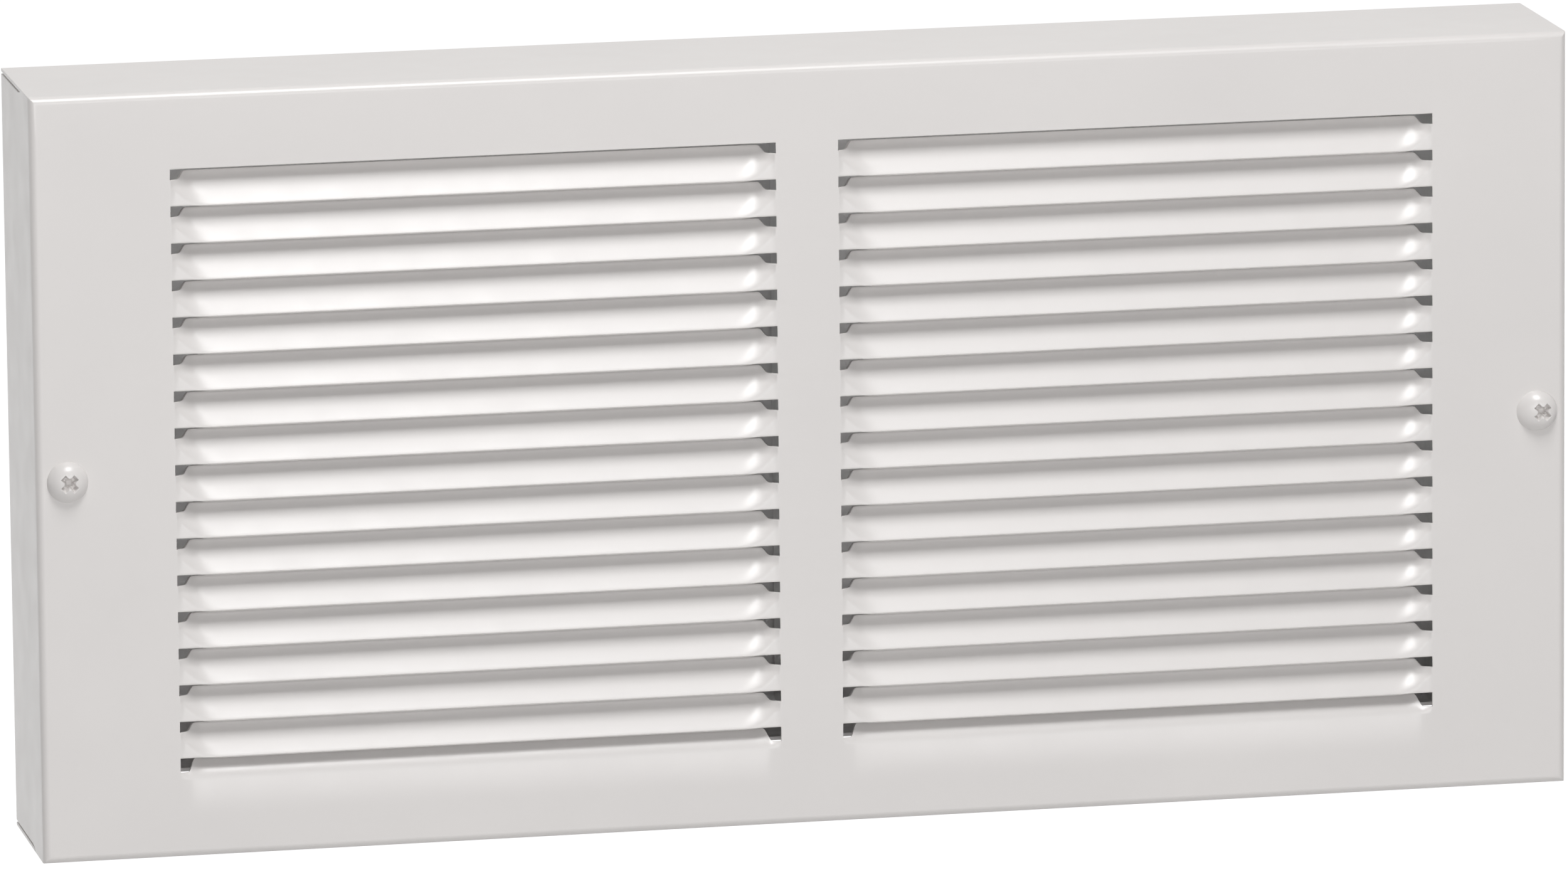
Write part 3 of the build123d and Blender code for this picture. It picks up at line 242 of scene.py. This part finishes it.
def galvanised(name):
    """Zinc spangle: crystals, each with its own tone and sheen, under a faint white bloom."""
    crystals_per_metre = 130.0
    wobbles_per_metre = 90.0
    wobble_reach = 6 * MM
    m = Nodes(name)
    warp = m.add("ShaderNodeVectorMath", operation="SCALE")
    wander = m.add("ShaderNodeTexNoise")
    wander.inputs["Scale"].default_value = wobbles_per_metre
    m.join(m.place, wander.inputs["Vector"])
    m.join(wander.outputs["Color"], warp.inputs[0])
    warp.inputs["Scale"].default_value = wobble_reach
    moved = m.add("ShaderNodeVectorMath", operation="ADD")
    m.join(m.place, moved.inputs[0])
    m.join(warp.outputs["Vector"], moved.inputs[1])
    cells = m.add("ShaderNodeTexVoronoi")
    cells.inputs["Scale"].default_value = crystals_per_metre
    m.join(moved.outputs["Vector"], cells.inputs["Vector"])
    crystal = m.add("ShaderNodeSeparateColor")
    m.join(cells.outputs["Color"], crystal.inputs["Color"])
    base = m.mix(crystal.outputs["Red"], (0.60, 0.61, 0.62), (0.76, 0.77, 0.78))
    bloom = m.ramp(m.noise(70 * MM, detail=6.0), 0.5, 0.75, 0.0, 0.35)
    m.join(m.mix(bloom, base, (0.74, 0.75, 0.75)), m.shader.inputs["Base Color"])
    sheen = m.ramp(crystal.outputs["Green"], 0.0, 1.0, 0.32, 0.5)
    m.join(sheen, m.shader.inputs["Roughness"])
    facet = m.bump(crystal.outputs["Blue"], 0.01 * MM, 0.4)
    fine = m.bump(m.noise(0.6 * MM), 0.006 * MM, 0.4, facet)
    m.join(fine, m.shader.inputs["Normal"])
    m.set(Metallic=0.4)
    return m.material


def plastic(name, colour, shade, rough, depth=0.02, coat=0.0):
    """Moulded or rubbery piece: cloudy tone, fine moulded texture, scuffed edges."""
    m = Nodes(name)
    cloud = m.ramp(m.noise(8 * MM, detail=4.0), 0.35, 0.65, 0.0, 1.0)
    base = m.mix(cloud, colour, shade)
    scuff = tuple(min(1.0, c * 1.2 + 0.03) for c in colour)
    m.join(m.mix(m.worn_edges(0.53, 0.62), base, scuff), m.shader.inputs["Base Color"])
    m.join(
        m.ramp(m.noise(2 * MM), 0.3, 0.7, rough - 0.07, rough + 0.1),
        m.shader.inputs["Roughness"],
    )
    m.join(m.bump(m.noise(0.4 * MM), depth * MM, 0.4), m.shader.inputs["Normal"])
    m.set(Coat_Weight=coat, Coat_Roughness=0.15)
    return m.material


def laminated(name):
    """Stacked steel laminations: fine ridges along Y, oily patches."""
    ridge_scale = 320.0
    m = Nodes(name)
    bands = m.add("ShaderNodeTexWave", wave_type="BANDS", bands_direction="Y")
    bands.inputs["Scale"].default_value = ridge_scale
    m.join(m.place, bands.inputs["Vector"])
    oil = m.ramp(m.noise(9 * MM, detail=5.0), 0.35, 0.65, 0.0, 1.0)
    m.join(m.mix(oil, (0.16, 0.16, 0.18), (0.27, 0.27, 0.29)), m.shader.inputs["Base Color"])
    m.join(m.ramp(oil, 0.0, 1.0, 0.35, 0.6), m.shader.inputs["Roughness"])
    m.join(m.bump(bands.outputs["Fac"], 0.08 * MM, 0.6), m.shader.inputs["Normal"])
    m.set(Metallic=0.85)
    return m.material


def wound(name):
    """Enamelled wire: turns around X, under varnish; each turn is painted dark in its groove
    and bright on its crown, painted shade and painted highlight.
    """
    wire_scale = 420.0
    m = Nodes(name)
    bands = m.add("ShaderNodeTexWave", wave_type="BANDS", bands_direction="X")
    bands.inputs["Scale"].default_value = wire_scale
    m.join(m.place, bands.inputs["Vector"])
    # colour follows the same bands as the relief: painted shade in the grooves between turns,
    # painted highlight on their crowns
    m.join(
        m.mix(bands.outputs["Fac"], (0.30, 0.10, 0.03), (0.72, 0.30, 0.10)),
        m.shader.inputs["Base Color"],
    )
    m.join(m.ramp(m.noise(2 * MM), 0.3, 0.7, 0.2, 0.4), m.shader.inputs["Roughness"])
    m.join(m.bump(bands.outputs["Fac"], 0.2 * MM, 0.8), m.shader.inputs["Normal"])
    m.set(Metallic=0.6, Coat_Weight=0.5)
    return m.material


def heat_tinted(name, cool, hot, rough):
    """Steel that has been hot: straw and blue-grey clouds over a dull sheen."""
    m = Nodes(name)
    cloud = m.ramp(m.noise(22 * MM, detail=4.0), 0.35, 0.65, 0.0, 1.0)
    blue = m.ramp(m.noise(11 * MM, detail=3.0), 0.55, 0.75, 0.0, 0.6)
    tint = m.mix(cloud, cool, hot)
    m.join(m.mix(blue, tint, (0.22, 0.25, 0.33)), m.shader.inputs["Base Color"])
    m.join(
        m.ramp(m.noise(4 * MM), 0.3, 0.7, rough - 0.08, rough + 0.15),
        m.shader.inputs["Roughness"],
    )
    m.join(m.bump(m.noise(0.5 * MM), 0.03 * MM, 0.4), m.shader.inputs["Normal"])
    m.set(Metallic=0.9)
    return m.material


enamel = powder_coat("white_powder_coat", (0.80, 0.772, 0.757), (0.775, 0.748, 0.735))
finishes = {
    "white_enamel": enamel,
    "galvanised": galvanised("galvanised_spangle"),
    "zinc_screw": metal("zinc_plate", (0.62, 0.62, 0.58), (0.52, 0.53, 0.50), 3 * MM, 0.32),
    "cast_zinc": metal(
        "die_cast_zinc", (0.44, 0.45, 0.47), (0.36, 0.37, 0.39), 5 * MM, 0.5, depth=0.06
    ),
    "aluminised": metal(
        "aluminised_sheet",
        (0.86, 0.86, 0.86),
        (0.78, 0.78, 0.78),
        14 * MM,
        0.38,
        brush=(1, 6, 6),
    ),
    "blower_steel": metal(
        "dusty_steel", (0.46, 0.46, 0.46), (0.36, 0.35, 0.34), 7 * MM, 0.48, dark_edges=True
    ),
    "machined_steel": metal(
        "ground_steel", (0.56, 0.56, 0.56), (0.46, 0.46, 0.47), 2 * MM, 0.25, brush=(1, 12, 1)
    ),
    "laminations": laminated("steel_laminations"),
    "copper_winding": wound("enamelled_copper_with_painted_shade"),
    "bobbin_nylon": plastic(
        "glass_filled_nylon", (0.72, 0.69, 0.60), (0.66, 0.62, 0.52), 0.45
    ),
    "bronze": metal("sintered_bronze", (0.50, 0.32, 0.15), (0.38, 0.24, 0.12), 1.5 * MM, 0.45),
    "rubber_black": plastic("black_rubber", (0.03, 0.03, 0.03), (0.045, 0.044, 0.042), 0.7),
    "element_steel": heat_tinted(
        "tinted_sheath", (0.36, 0.33, 0.29), (0.30, 0.22, 0.14), 0.42
    ),
    "fin_steel": heat_tinted("tinted_fins", (0.46, 0.44, 0.41), (0.40, 0.31, 0.20), 0.38),
    "ceramic": plastic("steatite", (0.80, 0.77, 0.69), (0.74, 0.70, 0.62), 0.6),
    "phenolic": plastic("brown_phenolic", (0.06, 0.035, 0.025), (0.09, 0.06, 0.045), 0.35),
    "red_plastic": plastic(
        "red_button", (0.55, 0.03, 0.02), (0.48, 0.025, 0.02), 0.3, coat=0.3
    ),
    "tin_blade": metal("tin_plate", (0.70, 0.69, 0.65), (0.60, 0.59, 0.56), 2 * MM, 0.22),
    "lead_black": plastic("black_lead", (0.035, 0.035, 0.037), (0.05, 0.05, 0.05), 0.5),
    "lead_white": plastic(
        "braided_lead", (0.74, 0.72, 0.66), (0.62, 0.60, 0.54), 0.75, depth=0.08
    ),
    "lead_red": plastic("red_lead", (0.42, 0.04, 0.03), (0.34, 0.035, 0.03), 0.5),
    "nut_orange": plastic("orange_connector", (0.72, 0.22, 0.03), (0.64, 0.18, 0.03), 0.4),
    "earth_green": metal(
        "green_passivate", (0.08, 0.30, 0.14), (0.05, 0.22, 0.10), 2 * MM, 0.35
    ),
}
slot_of = {part["node"]: part["material_slot"] for part in frame["record"]["subparts"]}
for name, node in nodes.items():
    node.data.materials.clear()
    node.data.materials.append(finishes[slot_of[name]])


# ---------------------------------------------------------------- mesh helpers
def smooth_step(value):
    """0 below 0, 1 above 1, with an S between."""
    t = min(1.0, max(0.0, value))
    return t * t * (3.0 - 2.0 * t)


def evenly(low, high, count):
    """Both ends and the points that cut the span into count equal parts."""
    return [low + (high - low) * i / count for i in range(count + 1)]


def join_rings(bm, rings):
    """Quads from each closed ring of vertices to the next."""
    for first, second in zip(rings, rings[1:]):
        for n in range(len(first)):
            m = (n + 1) % len(first)
            bm.faces.new([first[n], first[m], second[m], second[n]])


def applied(piece):
    """Replaces the piece's mesh with what its modifiers make of it."""
    bpy.context.view_layer.update()
    seen = piece.evaluated_get(bpy.context.evaluated_depsgraph_get())
    mesh = bpy.data.meshes.new_from_object(seen)
    piece.modifiers.clear()
    piece.data = mesh
    return mesh


def finished(bm, name, material, thickness=0.0, rounding=0.0):
    """Turns a bmesh into a piece: sheet thickness inward, rounded edges, smooth shading."""
    mesh = bpy.data.meshes.new(name)
    bm.to_mesh(mesh)
    bm.free()
    piece = bpy.data.objects.new(name, mesh)
    bpy.context.scene.collection.objects.link(piece)
    if thickness:
        solid = piece.modifiers.new("sheet", "SOLIDIFY")
        solid.thickness = thickness
        solid.offset = -1.0
        solid.use_even_offset = True
    if rounding:
        edge = piece.modifiers.new("rounding", "BEVEL")
        edge.width = rounding
        edge.segments = 2
        edge.limit_method = "ANGLE"
        edge.angle_limit = radians(50)
        edge.use_clamp_overlap = False
    shaped = applied(piece)
    shaped.polygons.foreach_set("use_smooth", [True] * len(shaped.polygons))
    shaped.set_sharp_from_angle(angle=radians(48))
    # large flat faces set the normals, so that the small rounded edges don't shade them
    weigh = piece.modifiers.new("normals", "WEIGHTED_NORMAL")
    weigh.keep_sharp = True
    weighted = applied(piece)
    weighted.materials.clear()
    weighted.materials.append(material)
    return piece


# ---------------------------------------------------------------- louvred cover
Blade = namedtuple("Blade", "rows rise run joint ridge_height ridge_reach tied_below")
louvre = Blade(14, blade_rise, blade_run, blade_joint, ridge_height, ridge_reach, False)
lip = Blade(2, lip_rise, lip_run, lip_joint, lip_joint, lip_ridge_reach, True)


def blade_depth(blade, across, height):
    """How far the stamped metal sits behind the face, across from the slot's end.

    Below a slanting ridge at the slot's end the metal stays in the face; above it, it
    twists in.
    """
    full = blade.run * (1.0 - (1.0 - height / blade.rise) ** blade_bow)
    outside = blade.ridge_reach * max(0.0, 1.0 - height / blade.ridge_height)
    twist = min(1.0, max(0.0, (across - outside) / twist_length))
    lean = tab_lean * min(1.0, across / tab_length)
    return full * max(lean, 1.0 - (1.0 - twist) ** 2.0)


def free_height(blade, across):
    """Height of the blade's free edge: notched low at the slot's end, full a little way in."""
    full = smooth_step((across - notch_width) / notch_slope)
    return blade.joint + (blade.rise - blade.joint) * full


def bank_columns():
    """Distances of a bank's columns from its left end, dense where the metal twists."""
    dense = evenly(0.0, 7.0, 20)
    widening = [7.6, 8.4, 9.4, 10.6, 12.0]
    near = [step * MM for step in dense + widening]
    middle = evenly(near[-1], bank_width - near[-1], 8)[1:-1]
    return near + middle + [bank_width - step for step in reversed(near)]


class Face:
    """The cover's front: a grid of columns and rows whose vertices the blades share."""

    def __init__(self, bm):
        self.bm = bm
        self.vertices = {}
        self.across = bank_columns()
        flat_x = half_width - bend
        flat_z = half_height - bend
        left_bank = [-bank_outer + step for step in self.across]
        right_bank = [mullion_half + step for step in self.across]
        self.xs = (
            evenly(-flat_x, -bank_outer, 4)[:-1]
            + left_bank
            + evenly(-mullion_half, mullion_half, 2)[1:-1]
            + right_bank
            + evenly(bank_outer, flat_x, 4)[1:]
        )
        self.zs = [-flat_z, (lip_fold - flat_z) / 2, lip_fold]
        self.zs += [lip_fold + lip_joint * (i + 1) / lip.rows for i in range(lip.rows)]
        self.blade_lows = [bank_top - pitch * (i + 1) for i in reversed(range(blade_count))]
        for low in self.blade_lows:
            self.zs += [low + blade_joint * i / louvre.rows for i in range(louvre.rows + 1)]
        self.zs += [bank_top, (bank_top + flat_z) / 2, flat_z]
        self.bank_starts = (self.xs.index(left_bank[0]), self.xs.index(right_bank[0]))
        self.columns = len(self.across) - 1
        self.bottom_row = self.zs.index(lip_fold)
        self.top_row = self.zs.index(bank_top)

    def vertex(self, i, k):
        """The face's vertex in column i and row k."""
        if (i, k) not in self.vertices:
            self.vertices[i, k] = self.bm.verts.new((self.xs[i], front_y, self.zs[k]))
        return self.vertices[i, k]

    def in_bank(self, i, k):
        """Whether the cell right of column i and above row k is cut out for a louvre."""
        inside = any(start <= i < start + self.columns for start in self.bank_starts)
        return inside and self.bottom_row <= k < self.top_row

    def add_flat(self):
        """The plain metal round and between the banks."""
        for i in range(len(self.xs) - 1):
            for k in range(len(self.zs) - 1):
                if not self.in_bank(i, k):
                    cell = ((i, k), (i + 1, k), (i + 1, k + 1), (i, k + 1))
                    self.bm.faces.new([self.vertex(*corner) for corner in cell])

    def add_blade(self, blade, start, base_row):
        """One blade; its ends are the face's own vertices up to the joint height."""
        table = []
        low = self.zs[base_row]
        for c in range(self.columns + 1):
            at_end = c in (0, self.columns)
            from_end = min(self.across[c], bank_width - self.across[c])
            top = free_height(blade, from_end)
            column = []
            for t in range(blade.rows + 1):
                if at_end or (t == 0 and blade.tied_below):
                    column.append(self.vertex(start + c, base_row + (t if at_end else 0)))
                    continue
                height = top * t / blade.rows
                depth = blade_depth(blade, from_end, height)
                place = (self.xs[start + c], front_y + depth, low + height)
                column.append(self.bm.verts.new(place))
            table.append(column)
        for left, right in zip(table, table[1:]):
            for t in range(blade.rows):
                self.bm.faces.new([left[t], right[t], right[t + 1], left[t + 1]])

    def add_banks(self):
        """In each bank, the bent lip at the bottom and the louvres above it."""
        for start in self.bank_starts:
            self.add_blade(lip, start, self.bottom_row)
            for low in self.blade_lows:
                self.add_blade(louvre, start, self.zs.index(low))

    def outline(self):
        """Grid places round the face's edge, and which of them are its corners."""
        last_i = len(self.xs) - 1
        last_k = len(self.zs) - 1
        loop = [(i, 0) for i in range(last_i)]
        loop += [(last_i, k) for k in range(last_k)]
        loop += [(i, last_k) for i in range(last_i, 0, -1)]
        loop += [(0, k) for k in range(last_k, 0, -1)]
        return loop, {(0, 0), (last_i, 0), (last_i, last_k), (0, last_k)}

    def flange_point(self, key, out, y, drop):
        """A point of the flanges: out from the face's edge, y deep, and drop below the seam."""
        i, k = key
        side = (i == len(self.xs) - 1) - (i == 0)
        rise = (k == len(self.zs) - 1) - (k == 0)
        return Vector((self.xs[i] + side * out, y, self.zs[k] + rise * (out - drop)))

    def add_flanges(self):
        """Four flanges, bent back to the wall; each corner has a side and a top vertex."""
        bend_steps = 6
        rings = []
        for step in range(1, bend_steps + 1):
            angle = pi / 2 * step / bend_steps
            rings.append((bend * sin(angle), front_y + bend * (1 - cos(angle)), 0.0))
        seam_start = front_y + seam_depth
        gap = sheet + seam_gap
        rings.append((bend, seam_start, 0.0))
        rings.append((bend, seam_start + 2 * MM, gap * 0.7))
        rings.append((bend, seam_start + 5 * MM, gap))
        rings.append((bend, 0.0, gap))

        loop, corners = self.outline()
        before = {key: self.vertices[key] for key in loop}
        before_side = {key: self.vertices[key] for key in corners}
        for out, y, drop in rings:
            after = {}
            for key in loop:
                after[key] = self.bm.verts.new(self.flange_point(key, out, y, 0.0))
            after_side = {}
            for key in corners:
                after_side[key] = after[key]
                if drop:
                    after_side[key] = self.bm.verts.new(self.flange_point(key, out, y, drop))
            for a, b in zip(loop, loop[1:] + loop[:1]):
                quad = [before[a], before[b], after[b], after[a]]
                if a[0] == b[0]:
                    quad = [
                        before_side.get(a, before[a]),
                        before_side.get(b, before[b]),
                        after_side.get(b, after[b]),
                        after_side.get(a, after[a]),
                    ]
                self.bm.faces.new(list(reversed(quad)))
            before, before_side = after, after_side


def build_cover():
    """Folded box open at the wall; the sheet's thickness goes inward from its outer skin."""
    bm = bmesh.new()
    face = Face(bm)
    face.add_flat()
    face.add_banks()
    face.add_flanges()
    bmesh.ops.recalc_face_normals(bm, faces=bm.faces)
    top_face = max(bm.faces, key=lambda f: f.calc_center_median().z)
    if top_face.normal.z < 0:
        bmesh.ops.reverse_faces(bm, faces=bm.faces)
    return finished(bm, "louvred_cover", enamel, thickness=sheet, rounding=edge_rounding)


cover = build_cover()
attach(cover, "heater")
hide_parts("grille")


# ---------------------------------------------------------------- cover screws
def recess(x, z):
    """Depth of a cross recess turned by an eighth of a turn, tapering to its foot."""
    a = abs((x + z) * cos(pi / 4))
    b = abs((x - z) * cos(pi / 4))
    along, beside = max(a, b), min(a, b)
    end_wall = (recess_reach - along) / (0.35 * recess_reach)
    side_wall = (recess_width - beside) / (0.4 * recess_width)
    slots = smooth_step(min(end_wall, side_wall)) * 0.75
    pit = 1.0 - (along + beside) / (0.85 * recess_reach)
    return recess_depth * max(slots, smooth_step(1.6 * pit))


def screw_rings(centre, lean):
    """Rings of points from the head's crown to the shank's tip; the head leans to the right."""
    around = 96
    head_steps = 34
    dome_flatness, dome_fullness = 2.6, 0.62
    undercut = 0.97
    blunt = 0.45
    tip_y = screw_high.y
    rings = []
    for step in range(head_steps + 1):
        r = head_radius * step / head_steps
        dome = head_height * (1 - (r / head_radius) ** dome_flatness) ** dome_fullness
        ring = []
        for n in range(around):
            angle = 2 * pi * n / around
            x, z = r * cos(angle), r * sin(angle)
            height = max(dome, head_rim * (step < head_steps))
            ring.append((centre + x + lean * height, front_y - height + recess(x, z), z))
        rings.append(ring)
    rings.append(
        [(centre + (x - centre) * undercut, front_y, z * undercut) for x, _, z in rings[-1]]
    )
    shank_steps = int((tip_y - front_y) / (thread_pitch / 6))
    for step in range(shank_steps + 1):
        y = front_y + (tip_y - front_y) * step / shank_steps
        taper = min(1.0, (tip_y - y) / point_length + blunt)
        threaded = y > front_y + plain_shank
        ring = []
        for n in range(around):
            phase = (y / thread_pitch + n / around) % 1.0
            r = taper * (shank_radius - thread_depth * abs(2 * phase - 1) * threaded)
            angle = 2 * pi * n / around
            ring.append((centre + r * cos(angle), y, r * sin(angle)))
        rings.append(ring)
    return rings


def build_screws():
    """Both cover screws, each closed by a fan at its crown and at its tip."""
    bm = bmesh.new()
    for centre, lean in (
        (screw_low.x + head_radius, left_screw_lean),
        (screw_high.x - head_radius, right_screw_lean),
    ):
        rings = screw_rings(centre, lean)
        tip = bm.verts.new((centre, screw_high.y, 0.0))
        crown = bm.verts.new(rings[0][0])
        loops = [[bm.verts.new(point) for point in ring] for ring in rings[1:]]
        for n in range(len(loops[0])):
            m = (n + 1) % len(loops[0])
            bm.faces.new([crown, loops[0][m], loops[0][n]])
            bm.faces.new([tip, loops[-1][n], loops[-1][m]])
        join_rings(bm, loops)
    bmesh.ops.recalc_face_normals(bm, faces=bm.faces)
    return finished(bm, "cover_screws", enamel)


screws = build_screws()
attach(screws, "heater")
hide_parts("grille_screws")


# ---------------------------------------------------------------- reset button's spring
def build_spring(low, high):
    """Compression spring along Y that fills the box, its end turns closed up."""
    bm = bmesh.new()
    per_turn, around = 40, 12
    radius = (high.x - low.x) / 2 - spring_wire
    length = high.y - low.y - 2 * spring_wire
    middle = (low + high) / 2
    rises = [0.0]
    for step in range(spring_turns * per_turn):
        turn = step / per_turn
        opening = smooth_step(min(turn, spring_turns - turn) - 0.5)
        rises.append(rises[-1] + 1.0 + opening)
    rings = []
    for step, rise in enumerate(rises):
        angle = 2 * pi * step / per_turn
        spoke = Vector((cos(angle), 0.0, sin(angle)))
        depth = low.y + spring_wire + length * rise / rises[-1]
        centre = Vector((middle.x, depth, middle.z)) + radius * spoke
        ring = []
        for n in range(around):
            turned = 2 * pi * n / around
            offset = cos(turned) * spoke + sin(turned) * Vector((0.0, 1.0, 0.0))
            ring.append(bm.verts.new(centre + spring_wire * offset))
        rings.append(ring)
    join_rings(bm, rings)
    bm.faces.new(rings[0])
    bm.faces.new(rings[-1])
    bmesh.ops.recalc_face_normals(bm, faces=bm.faces)
    return finished(bm, "reset_coil_spring", finishes["machined_steel"])


spring_low, spring_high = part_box("reset_spring")
spring = build_spring(spring_low, spring_high)
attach(spring, "heater")
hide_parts("reset_spring")
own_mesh(spring)


# ---------------------------------------------------------------- floor, light and camera
floor_drop = 0.35
floor_reach = 9.0
glow_start, glow_full = 0.5, 1.1


def floor_material():
    """Pale floor; well behind the heater it glows, like a lit background."""
    m = Nodes("studio_floor")
    tone = m.ramp(m.noise(0.6), 0.3, 0.7, 0.0, 1.0)
    m.join(m.mix(tone, (0.74, 0.74, 0.74), (0.70, 0.70, 0.70)), m.shader.inputs["Base Color"])
    m.join(m.ramp(m.noise(0.02), 0.3, 0.7, 0.6, 0.75), m.shader.inputs["Roughness"])
    split = m.add("ShaderNodeSeparateXYZ")
    m.join(m.place, split.inputs["Vector"])
    glow = m.ramp(split.outputs["Y"], glow_start, glow_full, 0.0, 0.75)
    m.join(glow, m.shader.inputs["Emission Strength"])
    m.set(Emission_Color=(1.0, 1.0, 1.0, 1.0))
    return m.material


floor_mesh = bpy.data.meshes.new("studio_floor")
floor_bm = bmesh.new()
bmesh.ops.create_grid(floor_bm, x_segments=8, y_segments=8, size=floor_reach)
floor_bm.to_mesh(floor_mesh)
floor_bm.free()
floor = bpy.data.objects.new("studio_floor", floor_mesh)
floor.location = (0.0, 0.0, cover_low.z - floor_drop)
floor_mesh.materials.append(floor_material())
bpy.context.scene.collection.objects.link(floor)


def studio_world(front, back):
    """Soft surroundings: dim on the viewer's side, bright behind the heater."""
    world = bpy.data.worlds.new("studio")
    world.use_nodes = True
    tree = world.node_tree
    place = tree.nodes.new("ShaderNodeTexCoord")
    split = tree.nodes.new("ShaderNodeSeparateXYZ")
    tree.links.new(place.outputs["Generated"], split.inputs["Vector"])
    ramp = tree.nodes.new("ShaderNodeMapRange")
    ramp.interpolation_type = "SMOOTHSTEP"
    ramp.inputs["From Min"].default_value = -0.15
    ramp.inputs["From Max"].default_value = 0.5
    ramp.inputs["To Min"].default_value = front
    ramp.inputs["To Max"].default_value = back
    tree.links.new(split.outputs["Y"], ramp.inputs["Value"])
    background = tree.nodes["Background"]
    background.inputs["Color"].default_value = (1.0, 0.995, 0.985, 1.0)
    tree.links.new(ramp.outputs["Result"], background.inputs["Strength"])
    return world


bpy.context.scene.world = studio_world(front=0.12, back=0.74)
bpy.context.scene.view_settings.view_transform = "Standard"


face_centre = Vector((0.0, front_y, 0.0))


def soft_light(name, azimuth, elevation, distance, width, height, power, spread):
    """Softbox aimed at the cover, angles in degrees; azimuth 0 is in front, positive right."""
    light = bpy.data.lights.new(name, "AREA")
    light.shape = "RECTANGLE"
    light.size = width
    light.size_y = height
    light.energy = power
    light.spread = radians(spread)
    lamp = bpy.data.objects.new(name, light)
    turn, lift = radians(azimuth), radians(elevation)
    direction = Vector((sin(turn) * cos(lift), -cos(turn) * cos(lift), sin(lift)))
    lamp.location = face_centre + direction * distance
    lamp.rotation_euler = direction.to_track_quat("Z", "Y").to_euler()
    bpy.context.scene.collection.objects.link(lamp)


soft_light(
    "key",
    azimuth=0.0,
    elevation=61.0,
    distance=2.0,
    width=0.65,
    height=1.0,
    power=10.8,
    spread=120.0,
)
soft_light(
    "fill",
    azimuth=-2.0,
    elevation=8.0,
    distance=3.0,
    width=3.0,
    height=1.3,
    power=13.5,
    spread=120.0,
)

# the photo's view: a long lens, a little to the left and above, tipped slightly
azimuth = radians(11.47)
elevation = radians(11.14)
roll = radians(-0.55)
distance = 3478.5 * MM
shift_right = -6.6 * MM
shift_up = 1.8 * MM
forward = Vector(
    (sin(azimuth) * cos(elevation), cos(azimuth) * cos(elevation), -sin(elevation))
)
level_right = Vector((cos(azimuth), -sin(azimuth), 0.0))
level_up = level_right.cross(forward)
right = cos(roll) * level_right + sin(roll) * level_up
up = cos(roll) * level_up - sin(roll) * level_right
camera_data = bpy.data.cameras.new("camera")
camera_data.sensor_width = 36.0
camera_data.lens = 311.9
camera_data.clip_end = 100.0
camera = bpy.data.objects.new("camera", camera_data)
eye = face_centre + shift_right * right + shift_up * up - distance * forward
turned = Matrix((right, up, -forward)).transposed()
camera.matrix_world = Matrix.Translation(eye) @ turned.to_4x4()
bpy.context.scene.collection.objects.link(camera)
bpy.context.scene.camera = camera
